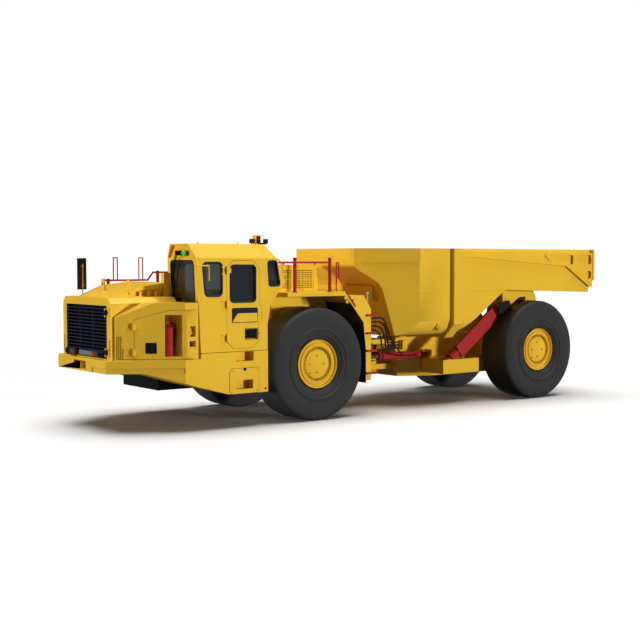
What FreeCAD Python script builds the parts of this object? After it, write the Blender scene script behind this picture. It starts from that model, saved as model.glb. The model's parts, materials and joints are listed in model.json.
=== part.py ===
"""Articulated underground mining truck, built as a parametric document.

Frame: millimetres, +X towards the nose, +Y to the truck's left, +Z up.
The origin lies on the floor under the middle of the truck.
Each sub-part is one labelled object, written to parts/LABEL.step.
"""
import FreeCAD, Part
import math
import os

import Sketcher

SIZES = {
    # whole vehicle
    "wheelbase": 5670,
    "front_overhang": 3800,
    "rear_overhang": 1700,
    "body_width": 3050,
    "hinge_setback": 2300,
    "seat_gap": 0.3,
    "moving_gap": 8,
    "overcut": 10,
    "sink": 5,
    "zero": 0,
    # wheels and axles
    "tyre_diameter": 2000,
    "tyre_width": 750,
    "tyre_overhang": 48,
    "tyre_shoulder": 40,
    "rim_radius": 430,
    "rim_setback": 60,
    "rim_recess_radius": 300,
    "rim_depth": 190,
    "hub_cap": 90,
    "hub_bore": 120,
    "spindle_end": 80,
    "axle_tube_radius": 175,
    "axle_tube_end": 100,
    "axle_bowl_radius": 300,
    "axle_bowl_width": 420,
    "saddle_inner": 220,
    "saddle_outer": 40,
    "saddle_half_length": 150,
    # front chassis and hitch
    "chassis_width": 1240,
    "chassis_bottom": 640,
    "chassis_spine_top": 1500,
    "spine_ahead": 525,
    "spine_behind": 1085,
    "spine_ramp": 200,
    "spine_lip": 40,
    "axle_arch_half": 330,
    "axle_arch_top": 1320,
    "hitch_ahead": 815,
    "hitch_width": 1000,
    "hitch_reach": 171,
    "hitch_corner": 150,
    "hitch_web_ahead": 450,
    "hitch_neck_ahead": 250,
    "hitch_ear_radius": 230,
    "hitch_wall": 30,
    "hitch_top": 1290,
    "hitch_plate": 50,
    "upper_lug_bottom": 1118,
    "upper_lug_top": 1222,
    "lower_lug_bottom": 668,
    "lower_lug_top": 772,
    "hitch_pin_radius": 80,
    # nose deck and side pods
    "nose_width": 1830,
    "nose_bottom": 988,
    "deck_top": 1205,
    "nose_taper": 1110,
    "nose_corner": 60,
    "band_bottom": 1075,
    "band_step": 14,
    "band_start": 410,
    "bumper_slot_bottom": 1024,
    "bumper_slot_top": 1156,
    "bumper_slot_left": 168,
    "bumper_slot_right": 280,
    "bumper_bar_right": 29,
    "bumper_bar_left": 9,
    "bumper_slot_depth": 70,
    "bumper_block_inner": 426,
    "bumper_block_outer": 850,
    "bumper_block_length": 90,
    "bumper_block_rise": 16,
    "pod_bottom": 586,
    "pod_front_bottom": 776,
    "pod_lip_length": 575,
    "pod_front_back": 1254,
    "pod_knee_back": 1952,
    "pod_rear_back": 2728,
    "pod_recess_depth": 150,
    "pod_recess_height": 160,
    "pod_recess_width": 350,
    "pod_recess_back": 2084,
    "pod_recess_low": 68,
    "pod_recess_high": 545,
    # hood
    "hood_width": 1780,
    "hood_front_back": 100,
    "hood_rear_back": 1320,
    "hood_shoulder": 2210,
    "hood_bevel": 90,
    "hood_wall": 16,
    "hump_top": 2450,
    "hump_left_width": 640,
    "hump_right_width": 800,
    "hump_start": 250,
    "hump_knee": 650,
    "hump_knee_rise": 170,
    "hump_flat": 20,
    "intake_front": 555,
    "intake_rear": 1130,
    "intake_depth": 60,
    "intake_sill": 18,
    "intake_front_rise": 95,
    "intake_rear_rise": 165,
    "intake_column": 42,
    "intake_columns": 3,
    "column_length": 92,
    "column_width": 110,
    "column_back": 1222,
    "column_top": 2608,
    "right_angle": 90,
    "grille_half_width": 755,
    "grille_bottom": 1220,
    "grille_top": 2085,
    "grille_depth": 60,
    "grille_frame": 60,
    "grille_rim": 40,
    "slat_count": 14,
    "slat_height": 18,
    "divider_left": 214,
    "divider_right": 272,
    "divider_width": 22,
    "divider_depth": 25,
    "grille_hinge_inset": 110,
    "grille_hinge_side": 4,
    "lamp_inner": 262,
    "lamp_outer": 650,
    "lamp_far_inner": 364,
    "lamp_far_outer": 745,
    "lamp_height": 112,
    "lamp_depth": 26,
    "lifting_eye_back": 565,
    "lifting_eye_height": 2420,
    "lifting_eye_radius": 30,
    "lifting_eye_plate": 25,
    "lifting_eye_width": 170,
    "lifting_eye_neck": 90,
    "lifting_eye_corner": 40,
    "lifting_eye_foot": 2250,
    "lifting_eye_rise": 75,
    "lifting_eye_left": 580,
    "lifting_eye_right": 320,
    "engine_setback": 260,
    "engine_length": 880,
    "engine_width": 900,
    "engine_height": 620,
    # side boxes beside the hood
    "box_front_back": 155,
    "box_front_width": 1884,
    "box_low_top": 1900,
    "box_top": 2130,
    "box_slope_back": 670,
    "box_rear_back": 1354,
    "box_wall": 20,
    "door_front_back": 415,
    "door_knee_back": 901,
    "door_thickness": 30,
    "door_lift": 2,
    "door_low_top": 1864,
    "door_top": 2014,
    "door_gap": 6,
    "service_hinge_inset": 10,
    "service_hinge_low": 130,
    "service_hinge_high": 111,
    "alcove_front": 830,
    "alcove_rear": 1070,
    "alcove_bottom": 1262,
    "alcove_top": 1939,
    "alcove_depth": 185,
    "alcove_sheet": 6,
    "port_front": 559,
    "port_rear": 720,
    "port_bottom": 1310,
    "port_top": 1497,
    "port_depth": 12,
    "pocket_front": 1183,
    "pocket_rear": 1304,
    "pocket_bottom": 1578,
    "pocket_top": 1754,
    "pocket_depth": 90,
    "stop_bottom": 1402,
    "stop_top": 1525,
    "stop_depth": 14,
    "bottle_radius": 75,
    "bottle_height": 470,
    "bottle_neck_radius": 28,
    "bottle_neck": 60,
    "bottle_head": 44,
    "bottle_head_reach": 70,
    "hinge_stand": 24,
    "hinge_leaf": 90,
    "hinge_height": 80,
    "hinge_lug": 26,
    "hinge_lug_half": 15,
    "hinge_plate": 12,
    "hinge_step": 2,
    "hinge_radius": 20,
    "hinge_pin_radius": 9,
    # cab
    "cab_width": 955,
    "cab_floor": 1300,
    "cab_wall": 50,
    "cab_front_back": 1401,
    "cab_front_lean": 73,
    "cab_roof": 3095,
    "cab_roof_front": 20,
    "cab_roof_rear": 60,
    "cab_eave": 2855,
    "cab_roof_inset": 216,
    "cab_roof_inset_far": 140,
    "cab_rear_back": 2720,
    "cab_neck": 195,
    "cab_hollow": 363,
    "cab_hollow_rise": 1149,
    "cab_hollow_foot": 261,
    "cab_hollow_foot_rise": 1030,
    "cab_hip": 57,
    "cab_hip_rise": 747,
    "cab_heel_rise": 435,
    "visor_reach": 106,
    "visor_root": 40,
    "visor_rise": 12,
    "visor_wall": 30,
    "visor_sheet": 22,
    "glass_thickness": 10,
    "window_corner": 70,
    "rear_window_corner": 45,
    "quarter_top": 1484,
    "quarter_bottom": 932,
    "quarter_front": 35,
    "quarter_front_foot": 88,
    "quarter_rear": 412,
    "rear_window_top": 1511,
    "rear_window_bottom": 1087,
    "rear_window_front": 8,
    "rear_window_front_foot": 36,
    "rear_window_rear": 183,
    "rear_window_rear_foot": 261,
    "screen_sill": 640,
    "screen_head": 40,
    "screen_far": 100,
    "screen_near": 110,
    "screen_overrun": 150,
    "far_window_front": 250,
    "far_window_rear": 1100,
    "far_window_bottom": 830,
    "far_window_top": 1480,
    "cab_door_thickness": 60,
    "door_setback": 504,
    "door_foot": 54,
    "door_head": 1515,
    "door_corner": 136,
    "door_corner_foot": 119,
    "door_corner_head": 103,
    "door_head_rear": 514,
    "door_rear": 640,
    "door_rear_shoulder": 120,
    "door_bay_top": 789,
    "door_bay": 692,
    "door_bay_shoulder": 715,
    "door_bay_hip": 513,
    "door_bay_foot": 460,
    "door_rear_low": 630,
    "door_foot_rear": 509,
    "pane_front": 68,
    "pane_rear": 573,
    "pane_bottom": 824,
    "pane_top": 1440,
    "handle_front": 364,
    "handle_rear": 604,
    "handle_bottom": 203,
    "handle_top": 373,
    "handle_depth": 30,
    "cab_hinge_low": 229,
    "cab_hinge_middle": 786,
    "cab_hinge_high": 1350,
    "cab_hinge_inset": 10,
    "seat_rear": 140,
    "seat_front": 800,
    "seat_foot_front": 750,
    "seat_foot_rear": 350,
    "seat_pan_rear": 370,
    "seat_hip": 250,
    "seat_pan": 480,
    "seat_pan_back": 450,
    "seat_hip_height": 380,
    "seat_top": 1150,
    "seat_top_front": 260,
    "seat_top_fall": 20,
    "seat_half_width": 240,
    # cab rails, roof lamps and mirrors
    "grab_radius": 12,
    "grab_offset": 35,
    "arm_front": 99,
    "arm_rear": 136,
    "arm_low": 1229,
    "arm_high": 1432,
    "arm_rear_low": 1189,
    "arm_bracket_length": 90,
    "arm_bracket_low": 1215,
    "arm_bracket_height": 110,
    "tail_grab_inset": 75,
    "tail_grab_top": 1590,
    "tail_grab_top_root": 150,
    "tail_grab_bend": 300,
    "tail_grab_bend_low": 1520,
    "tail_grab_low": 1270,
    "tail_grab_rear": 440,
    "tail_grab_root": 265,
    "beacon_mast_front": 73,
    "beacon_mast_rear": 113,
    "beacon_side": 295,
    "beacon_mast_width": 100,
    "beacon_mast_plate": 12,
    "beacon_mast_height": 155,
    "beacon_foot": 43,
    "beacon_radius": 38,
    "beacon_drop": 80,
    "beacon_back": 15,
    "roof_lamp_gap": 22,
    "roof_lamp_length": 55,
    "roof_lamp_width": 80,
    "roof_lamp_lift": 20,
    "roof_lamp_height": 72,
    "roof_lamp_stem": 9,
    "mirror_front_back": 337,
    "mirror_rear_back": 505,
    "mirror_side": 810,
    "mirror_thickness": 25,
    "mirror_bottom": 2315,
    "mirror_top": 2860,
    "mirror_post_radius": 11,
    "mirror_post_top": 2765,
    "mirror_clamp": 34,
    "mirror_clamp_low": 2370,
    "mirror_clamp_high": 2700,
    # fenders, handrails and the guard behind the cab
    "housing_rear": 785,
    "fender_top": 2266,
    "fender_plate": 76,
    "fender_front": 663,
    "fender_rear": 639,
    "tyre_side_gap": 8,
    "fender_sheet": 14,
    "fender_bottom": 643,
    "guard_top_back": 392,
    "guard_back": 562,
    "guard_back_drop": 328,
    "guard_foot_back": 566,
    "guard_foot_front": 439,
    "guard_knee_front": 437,
    "guard_knee_rise": 572,
    "guard_shoulder_front": 379,
    "guard_shoulder_rise": 1058,
    "guard_brow": 84,
    "guard_brow_drop": 208,
    "guard_brow_ahead": 41,
    "flap_thickness": 22,
    "flap_drop": 42,
    "flap_overhang": 12,
    "rung_rear": 680,
    "rung_front": 442,
    "rung_reach": 40,
    "rung_height": 40,
    "rung_1": 108,
    "rung_2": 516,
    "rung_3": 836,
    "rung_4": 1162,
    "rail_inset": 35,
    "post_radius": 30,
    "bar_radius": 17,
    "loop_radius": 11,
    "left_post_front": 483,
    "left_post_rear": 279,
    "left_post_top": 2858,
    "left_bar_front": 915,
    "left_bar_height": 2785,
    "left_loop_front": 425,
    "left_loop_rear": 480,
    "left_loop_height": 2779,
    "left_loop_rung": 2520,
    "stay_run": 80,
    "stay_fall": 180,
    "left_stay_rear": 835,
    "left_stay_foot": 1990,
    "right_bar_front_back": 1130,
    "right_bar_height": 2457,
    "right_post_front_back": 1165,
    "right_post_middle_back": 1260,
    "right_post_rear_back": 2285,
    "right_loop_front_back": 1406,
    "right_loop_rear_back": 1929,
    "right_loop_half": 40,
    "right_loop_height": 2870,
    "right_ramp_foot_back": 2075,
    "right_ramp_head_back": 2185,
    "right_top_bar": 2600,
    "right_top_rear_back": 2685,
    "gate_front": 215,
    "gate_rear": 495,
    "gate_rise": 40,
    "guard_front_ahead": 560,
    "guard_rear_behind": 509,
    "guard_left": 800,
    "guard_right": 560,
    "guard_height": 2743,
    "guard_sheet": 16,
    "guard_side_frame": 70,
    "guard_side_top": 90,
    "cooler_rear": 779,
    "cooler_half_width": 470,
    "cooler_top": 2500,
    # rear frame
    "rail_width": 1280,
    "rail_top": 860,
    "rail_bottom": 520,
    "neck_width": 400,
    "neck_length": 560,
    "neck_half_front": 330,
    "wedge_back": 1250,
    "spine_width": 560,
    "spine_top": 1290,
    "spine_end": 585,
    "tail_beam_start": 385,
    "tail_beam_top": 1560,
    "tail_belly_front": 560,
    "tail_belly_rear": 435,
    "tail_belly_rise": 20,
    "tail_foot_rise": 100,
    "tower_width": 1100,
    "tower_half_length": 190,
    "tower_shoulder": 60,
    "tower_head": 150,
    "tower_reach": 400,
    "bay_width": 560,
    "hoist_arm_front": 2405,
    "hoist_arm_rear": 1435,
    "hoist_arm_wall": 68,
    "hoist_arm_end": 80,
    "hoist_arm_drop": 217,
    "hoist_arm_rise": 60,
    "ear_half_width": 75,
    "ear_back": 160,
    "ear_ahead": 60,
    "ear_post": 60,
    "ear_plate": 40,
    "rest_rear": 300,
    "rest_front": 100,
    "rest_inset": 20,
    # bed
    "bed_top": 3050,
    "bed_wall": 25,
    "mouth_rise_ratio": 4,
    "mouth_run_ratio": 8,
    "bed_nose_ahead": 1010,
    "bed_nose_width": 1820,
    "bed_nose_drop": 350,
    "bed_nose_radius": 150,
    "bed_throat": 455,
    "bed_throat_drop": 680,
    "bed_throat_radius": 400,
    "bed_shin": 682,
    "bed_shin_radius": 60,
    "bed_chamfer_length": 1091,
    "bed_belly": 1395,
    "bed_belly_radius": 340,
    "bed_belly_ahead": 2245,
    "bed_heel_radius": 200,
    "bed_kink_ahead": 997,
    "bed_kink_height": 2233,
    "bed_kink_radius": 300,
    "bed_lip_back": 182,
    "bed_lip_height": 2153,
    "bed_pivot_back": 815,
    "bed_pivot_height": 2000,
    "bed_pin_radius": 60,
    "bed_ear_radius": 120,
    "bed_ear_thickness": 70,
    "bed_ear_root": 260,
    "bed_ear_sink": 35,
    "band_height": 260,
    "band_thickness": 20,
    "band_radius": 180,
    "rib_front": 2465,
    "rib_rear": 2247,
    "rib_stand": 75,
    "rib_knee": 1600,
    "rib_foot": 1325,
    "rib_foot_half": 1325,
    "beam_width": 957,
    "beam_top": 2343,
    "beam_bottom": 2046,
    "beam_front": 395,
    "beam_chin": 455,
    "beam_chin_rise": 54,
    "beam_root_top": 480,
    "beam_root_bottom": 545,
    "side_rail_stand": 50,
    "side_rail_front": 2238,
    "side_rail_block": 1946,
    "side_rail_top": 3007,
    "side_rail_under": 2882,
    "side_rail_crown": 2985,
    "side_rail_tail": 105,
    "side_rail_tail_under": 2648,
    "pocket_corner": 40,
    "pocket_head": 2934,
    "pocket_sill": 2742,
    "pocket_one_front": 1189,
    "pocket_one_rear": 713,
    "pocket_two_front": 596,
    "pocket_two_rear": 140,
    "gusset_front": 916,
    "gusset_head": 2700,
    "gusset_foot_rear": 185,
    "gusset_foot": 2268,
    "gusset_pocket_front": 365,
    "gusset_pocket_head": 2603,
    "gusset_pocket_sill": 2440,
    "tail_post_front": 105,
    "tail_post_rear": 45,
    "tail_post_foot": 2400,
    "hoist_web_rear": 800,
    "hoist_web_rear_drop": 30,
    "hoist_web_heel": 115,
    "hoist_web_waist": 350,
    "hoist_web_waist_rise": 80,
    # cylinders
    "hoist_lane_inset": 445,
    "hoist_low_ahead": 2180,
    "hoist_low_height": 821,
    "hoist_high_ahead": 600,
    "hoist_high_height": 1984,
    "hoist_barrel_radius": 92,
    "hoist_barrel_length": 1740,
    "hoist_rod_start": 200,
    "hoist_rod_radius": 60,
    "hoist_eye_radius": 85,
    "hoist_boss_radius": 68,
    "hoist_eye_width": 130,
    "hoist_bracket_plate": 45,
    "hoist_bracket_half": 100,
    "hoist_bracket_root": 150,
    "hoist_bracket_drop": 74,
    "hoist_bracket_corner": 60,
    "shield_start": 330,
    "shield_end": 1560,
    "shield_half": 140,
    "shield_plate": 14,
    "shield_flange": 50,
    "steer_rear_back": 1092,
    "steer_rear_lane": 520,
    "steer_front_ahead": 600,
    "steer_front_lane": 420,
    "steer_height": 950,
    "steer_barrel_radius": 70,
    "steer_rod_radius": 38,
    "steer_rod_start": 560,
    "steer_eye_radius": 72,
    "steer_eye_width": 80,
    "steer_barrel_length": 1130,
    "barrel_shoulder": 25,
    "barrel_cap": 60,
}


class Size:
    """A length or an angle: its value, and the sheet expression that gives it."""

    def __init__(self, text, value):
        self.text = text
        self.value = value

    def _join(self, sign, other, value):
        return Size("(%s %s %s)" % (self.text, sign, text_of(other)), value)

    def __add__(self, other):
        return self._join("+", other, self.value + value_of(other))

    def __sub__(self, other):
        return self._join("-", other, self.value - value_of(other))

    def __mul__(self, other):
        return self._join("*", other, self.value * value_of(other))

    def __truediv__(self, other):
        return self._join("/", other, self.value / value_of(other))

    def __neg__(self):
        return Size("(0 - %s)" % self.text, -self.value)

    def __radd__(self, other):
        return Size(text_of(other), other) + self

    def __rsub__(self, other):
        return Size(text_of(other), other) - self

    def __rmul__(self, other):
        return Size(text_of(other), other) * self


def value_of(thing):
    return thing.value if isinstance(thing, Size) else float(thing)


def text_of(thing):
    return thing.text if isinstance(thing, Size) else "(%g)" % thing


doc = FreeCAD.newDocument("MineTruck")
sheet = doc.addObject("Spreadsheet::Sheet", "Sizes")


class Sheet:
    """The sheet's cells by name, as Size values."""


S = Sheet()
for row, (alias, number) in enumerate(SIZES.items(), start=1):
    cell = "A%d" % row
    sheet.set(cell, "%g" % number)
    sheet.setAlias(cell, alias)
    setattr(S, alias, Size("Sizes." + alias, float(number)))
doc.recompute()

# ------------------------------------------------------------------ places
NOSE = (S.front_overhang + S.wheelbase + S.rear_overhang) / 2
TAIL = -NOSE
FRONT_AXLE = NOSE - S.front_overhang
REAR_AXLE = FRONT_AXLE - S.wheelbase
HINGE = FRONT_AXLE - S.hinge_setback
SIDE = S.body_width / 2
WHEEL_LANE = SIDE + S.tyre_overhang - S.tyre_width / 2
FENDER_INNER = WHEEL_LANE - S.tyre_width / 2 - S.tyre_side_gap
WHEEL_RADIUS = S.tyre_diameter / 2
CAB_SIDE = SIDE - S.cab_width
CAB_FRONT = NOSE - S.cab_front_back
CAB_REAR = NOSE - S.cab_rear_back
DOOR_FRONT = CAB_FRONT - S.door_setback
DECK = S.fender_top - S.fender_plate / 2
LEFT = 1
RIGHT = -1
SIDES = {"l": LEFT, "r": RIGHT}


# ------------------------------------------------------------------ tools
def origin_plane(body, role):
    return [item for item in body.Origin.OriginFeatures if item.Role == role][0]


def new_body(label):
    body = doc.addObject("PartDesign::Body", label)
    body.Label = label
    return body


def corner_parts(previous, here, following, radius):
    """Tangent points, centre and arc angles of a rounded corner."""
    corner = FreeCAD.Vector(here[0], here[1], 0)
    back = (FreeCAD.Vector(previous[0], previous[1], 0) - corner).normalize()
    ahead = (FreeCAD.Vector(following[0], following[1], 0) - corner).normalize()
    half = back.getAngle(ahead) / 2
    reach = radius / math.tan(half)
    centre = corner + (back + ahead).normalize() * (radius / math.sin(half))
    return corner + back * reach, corner + ahead * reach, centre


def outline(body, role, offset, points):
    """A closed sketch whose corners, and corner radii, follow the sheet.

    Each point is (u, v) or (u, v, radius). The sketch lies at offset along +X, +Y or +Z.
    """
    sketch = body.newObject("Sketcher::SketchObject", body.Label + "_outline")
    sketch.AttachmentSupport = (origin_plane(body, role), [""])
    sketch.MapMode = "FlatFace"
    lift = -offset if role == "XZ_Plane" else offset + 0
    sketch.setExpression(".AttachmentOffset.Base.z", text_of(lift))
    flat = [(value_of(point[0]), value_of(point[1])) for point in points]
    count = len(points)
    starts = [FreeCAD.Vector(u, v, 0) for u, v in flat]
    ends = list(starts)
    centres = {}
    for index, point in enumerate(points):
        if len(point) == 3:
            before = flat[index - 1]
            after = flat[(index + 1) % count]
            enter, leave, centre = corner_parts(before, flat[index], after, value_of(point[2]))
            ends[index] = enter
            starts[index] = leave
            centres[index] = centre
    for index in range(count):
        following = (index + 1) % count
        sketch.addGeometry(Part.LineSegment(starts[index], ends[following]))
    bound = []
    for index in range(count):
        before = (index - 1) % count
        if index not in centres:
            sketch.addConstraint(Sketcher.Constraint("Coincident", before, 2, index, 1))
            bound.append((index, 1, points[index]))
            continue
        centre = centres[index]
        radius = value_of(points[index][2])
        enter = ends[index] - centre
        leave = starts[index] - centre
        turn = enter.cross(leave).z
        first, last = (enter, leave) if turn > 0 else (leave, enter)
        circle = Part.Circle(centre, FreeCAD.Vector(0, 0, 1), radius)
        start_angle = math.atan2(first.y, first.x)
        end_angle = math.atan2(last.y, last.x)
        arc = sketch.addGeometry(Part.ArcOfCircle(circle, start_angle, end_angle))
        enter_end, leave_end = (1, 2) if turn > 0 else (2, 1)
        sketch.addConstraint(Sketcher.Constraint("Tangent", before, 2, arc, enter_end))
        sketch.addConstraint(Sketcher.Constraint("Tangent", arc, leave_end, index, 1))
        dimension = sketch.addConstraint(Sketcher.Constraint("Radius", arc, radius))
        sketch.setExpression("Constraints[%d]" % dimension, text_of(points[index][2]))
        mark = sketch.addGeometry(Part.Point(FreeCAD.Vector(flat[index][0], flat[index][1], 0)), True)
        sketch.addConstraint(Sketcher.Constraint("PointOnObject", mark, 1, before))
        sketch.addConstraint(Sketcher.Constraint("PointOnObject", mark, 1, index))
        bound.append((mark, 1, points[index]))
    for geometry, end, point in bound:
        for kind, coordinate in (("DistanceX", point[0]), ("DistanceY", point[1])):
            rule = Sketcher.Constraint(kind, -1, 1, geometry, end, value_of(coordinate))
            dimension = sketch.addConstraint(rule)
            if isinstance(coordinate, Size):
                sketch.setExpression("Constraints[%d]" % dimension, coordinate.text)
    return sketch


def pad(body, role, points, low, high):
    """Adds the outline's prism from low to high along the plane's own axis."""
    sketch = outline(body, role, low, points)
    feature = body.newObject("PartDesign::Pad", body.Label + "_pad")
    feature.Profile = sketch
    feature.setExpression("Length", text_of(high - low))
    feature.Reversed = role == "XZ_Plane"
    return feature


CUTS = []


def cut(body, role, points, low, high):
    """Removes the outline's prism from low to high along the plane's own axis."""
    sketch = outline(body, role, low, points)
    base = body.Tip
    feature = body.newObject("PartDesign::Pocket", body.Label + "_cut")
    feature.Profile = sketch
    feature.setExpression("Length", text_of(high - low))
    feature.Reversed = role != "XZ_Plane"
    CUTS.append((feature, base))
    return feature


def lathe(body, points):
    """Adds the outline of the XY plane turned about the body's Y axis."""
    sketch = outline(body, "XY_Plane", S.zero, points)
    feature = body.newObject("PartDesign::Revolution", body.Label + "_turned")
    feature.Profile = sketch
    feature.ReferenceAxis = (sketch, ["V_Axis"])
    feature.Angle = 360
    return feature


def prism(label, role, points, low, high):
    body = new_body(label)
    pad(body, role, points, low, high)
    return body


def rectangle(low_u, low_v, high_u, high_v):
    return [(low_u, low_v), (high_u, low_v), (high_u, high_v), (low_u, high_v)]


def span(side, inner, outer):
    """The low and high ends of a stretch that lies on one side of the middle."""
    return (inner, outer) if side == LEFT else (-outer, -inner)


def combine(kind, label, pieces):
    """A Part boolean of several pieces: MultiCommon, MultiFuse or Cut."""
    result = doc.addObject("Part::" + kind, label)
    result.Label = label
    if kind == "Cut":
        result.Base, result.Tool = pieces
    else:
        result.Shapes = pieces
    return result


def mirrored(label, source):
    """The same piece on the other side of the middle plane."""
    result = doc.addObject("Part::Mirroring", label)
    result.Label = label
    result.Source = source
    result.Normal = FreeCAD.Vector(0, 1, 0)
    return result


def rod(label, radius, length, base, direction):
    """A round bar of the given length from base along a fixed direction."""
    bar = doc.addObject("Part::Cylinder", label)
    bar.Label = label
    bar.setExpression("Radius", text_of(radius))
    bar.setExpression("Height", text_of(length))
    turn = FreeCAD.Rotation(FreeCAD.Vector(0, 0, 1), FreeCAD.Vector(*direction))
    bar.Placement = FreeCAD.Placement(FreeCAD.Vector(0, 0, 0), turn)
    place(bar, base)
    return bar


def block(label, low, high):
    """A square-edged box between two corners."""
    box = doc.addObject("Part::Box", label)
    box.Label = label
    for name, first, last in zip(("Length", "Width", "Height"), low, high):
        box.setExpression(name, text_of(last - first))
    place(box, low)
    return box


def place(item, point):
    for axis, coordinate in zip("xyz", point):
        if isinstance(coordinate, Size):
            item.setExpression("Placement.Base." + axis, coordinate.text)
        else:
            setattr(item.Placement.Base, axis, coordinate)


NODES = []


def node(item):
    """Marks an object as a finished sub-part."""
    NODES.append(item)
    return item


def root_of_squares(first, second):
    text = "sqrt(%s * %s + %s * %s)" % (first.text, first.text, second.text, second.text)
    return Size(text, math.hypot(first.value, second.value))


def slope_angle(run, rise):
    text = "(atan2(%s; %s) / 1 deg)" % (rise.text, run.text)
    return Size(text, math.degrees(math.atan2(rise.value, run.value)))


def turn(item, axis, angle):
    """Turns a placed object about a fixed direction by an angle from the sheet."""
    base = item.Placement.Base
    item.Placement = FreeCAD.Placement(base, FreeCAD.Rotation(FreeCAD.Vector(*axis), 1))
    item.setExpression("Placement.Rotation.Angle", text_of(angle))


def tube(label, radius, points):
    """Round bars from point to point, each sunk into the next by half its radius."""
    bars = []
    for index, (start, end) in enumerate(zip(points, points[1:])):
        run, side, rise = (last - first for first, last in zip(start, end))
        length = root_of_squares(root_of_squares(run, side), rise)
        heading = (value_of(run), value_of(side), value_of(rise))
        overrun = S.zero if index == len(points) - 2 else radius / 2
        bars.append(rod("%s_%d" % (label, index), radius, length + overrun, start, heading))
    return bars


def make_hinge(label, axis_x, axis_y, angle, outward, heights):
    """Knuckle hinges on one upright axis: the door's pieces and the frame's pieces.

    In the hinge's own frame the door lies towards -X and outward is +Y or -Y.
    """
    length = S.hinge_leaf
    near = S.door_gap * 2
    half = S.hinge_height / 2
    low_y = S.hinge_plate - S.hinge_stand
    sunk_y = -S.hinge_stand - S.sink
    bridge_y = S.hinge_step - S.hinge_stand
    low_lug = half + S.hinge_step
    pin_half = low_lug + S.hinge_lug
    lug = S.hinge_lug_half
    up = (0, 0, 1)
    door_pieces = []
    frame_pieces = []

    def strip(name, low_x, high_x, low_y, high_y, low_z, high_z):
        low_y, high_y = span(outward, low_y, high_y)
        return block(name, (low_x, low_y, low_z), (high_x, high_y, high_z))

    for index, height in enumerate(heights):
        name = "%s_%d" % (label, index)
        tab = strip(name + "_tab", -length, -near, sunk_y, low_y, -half, half)
        bridge = strip(name + "_bridge", -length, S.zero, bridge_y, low_y, -half, half)
        foot = (0, 0, -half)
        knuckle = rod(name + "_knuckle", S.hinge_radius, S.hinge_height, foot, up)
        under = (0, 0, -half - S.overcut)
        bore_length = S.hinge_height + S.overcut * 2
        bore = rod(name + "_bore", S.hinge_pin_radius + S.seat_gap, bore_length, under, up)
        leaf = combine("MultiFuse", name + "_leaf", [tab, bridge, knuckle])
        door_piece = combine("Cut", name + "_door", [leaf, bore])
        parts = [rod(name + "_pin", S.hinge_pin_radius, pin_half * 2, (0, 0, -pin_half), up)]
        for end, low_z in (("top", low_lug), ("foot", -pin_half)):
            high_z = low_z + S.hinge_lug
            parts.append(strip(name + "_lug_" + end, -lug, lug, -lug, lug, low_z, high_z))
            parts.append(strip(name + "_arm_" + end, S.zero, length, bridge_y, low_y, low_z, high_z))
            parts.append(strip(name + "_pad_" + end, near, length, sunk_y, low_y, low_z, high_z))
        frame_piece = combine("MultiFuse", name + "_frame", parts)
        for item in (door_piece, frame_piece):
            turn(item, up, angle)
            place(item, (axis_x, axis_y, height))
        door_pieces.append(door_piece)
        frame_pieces.append(frame_piece)
    return door_pieces, frame_pieces

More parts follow.
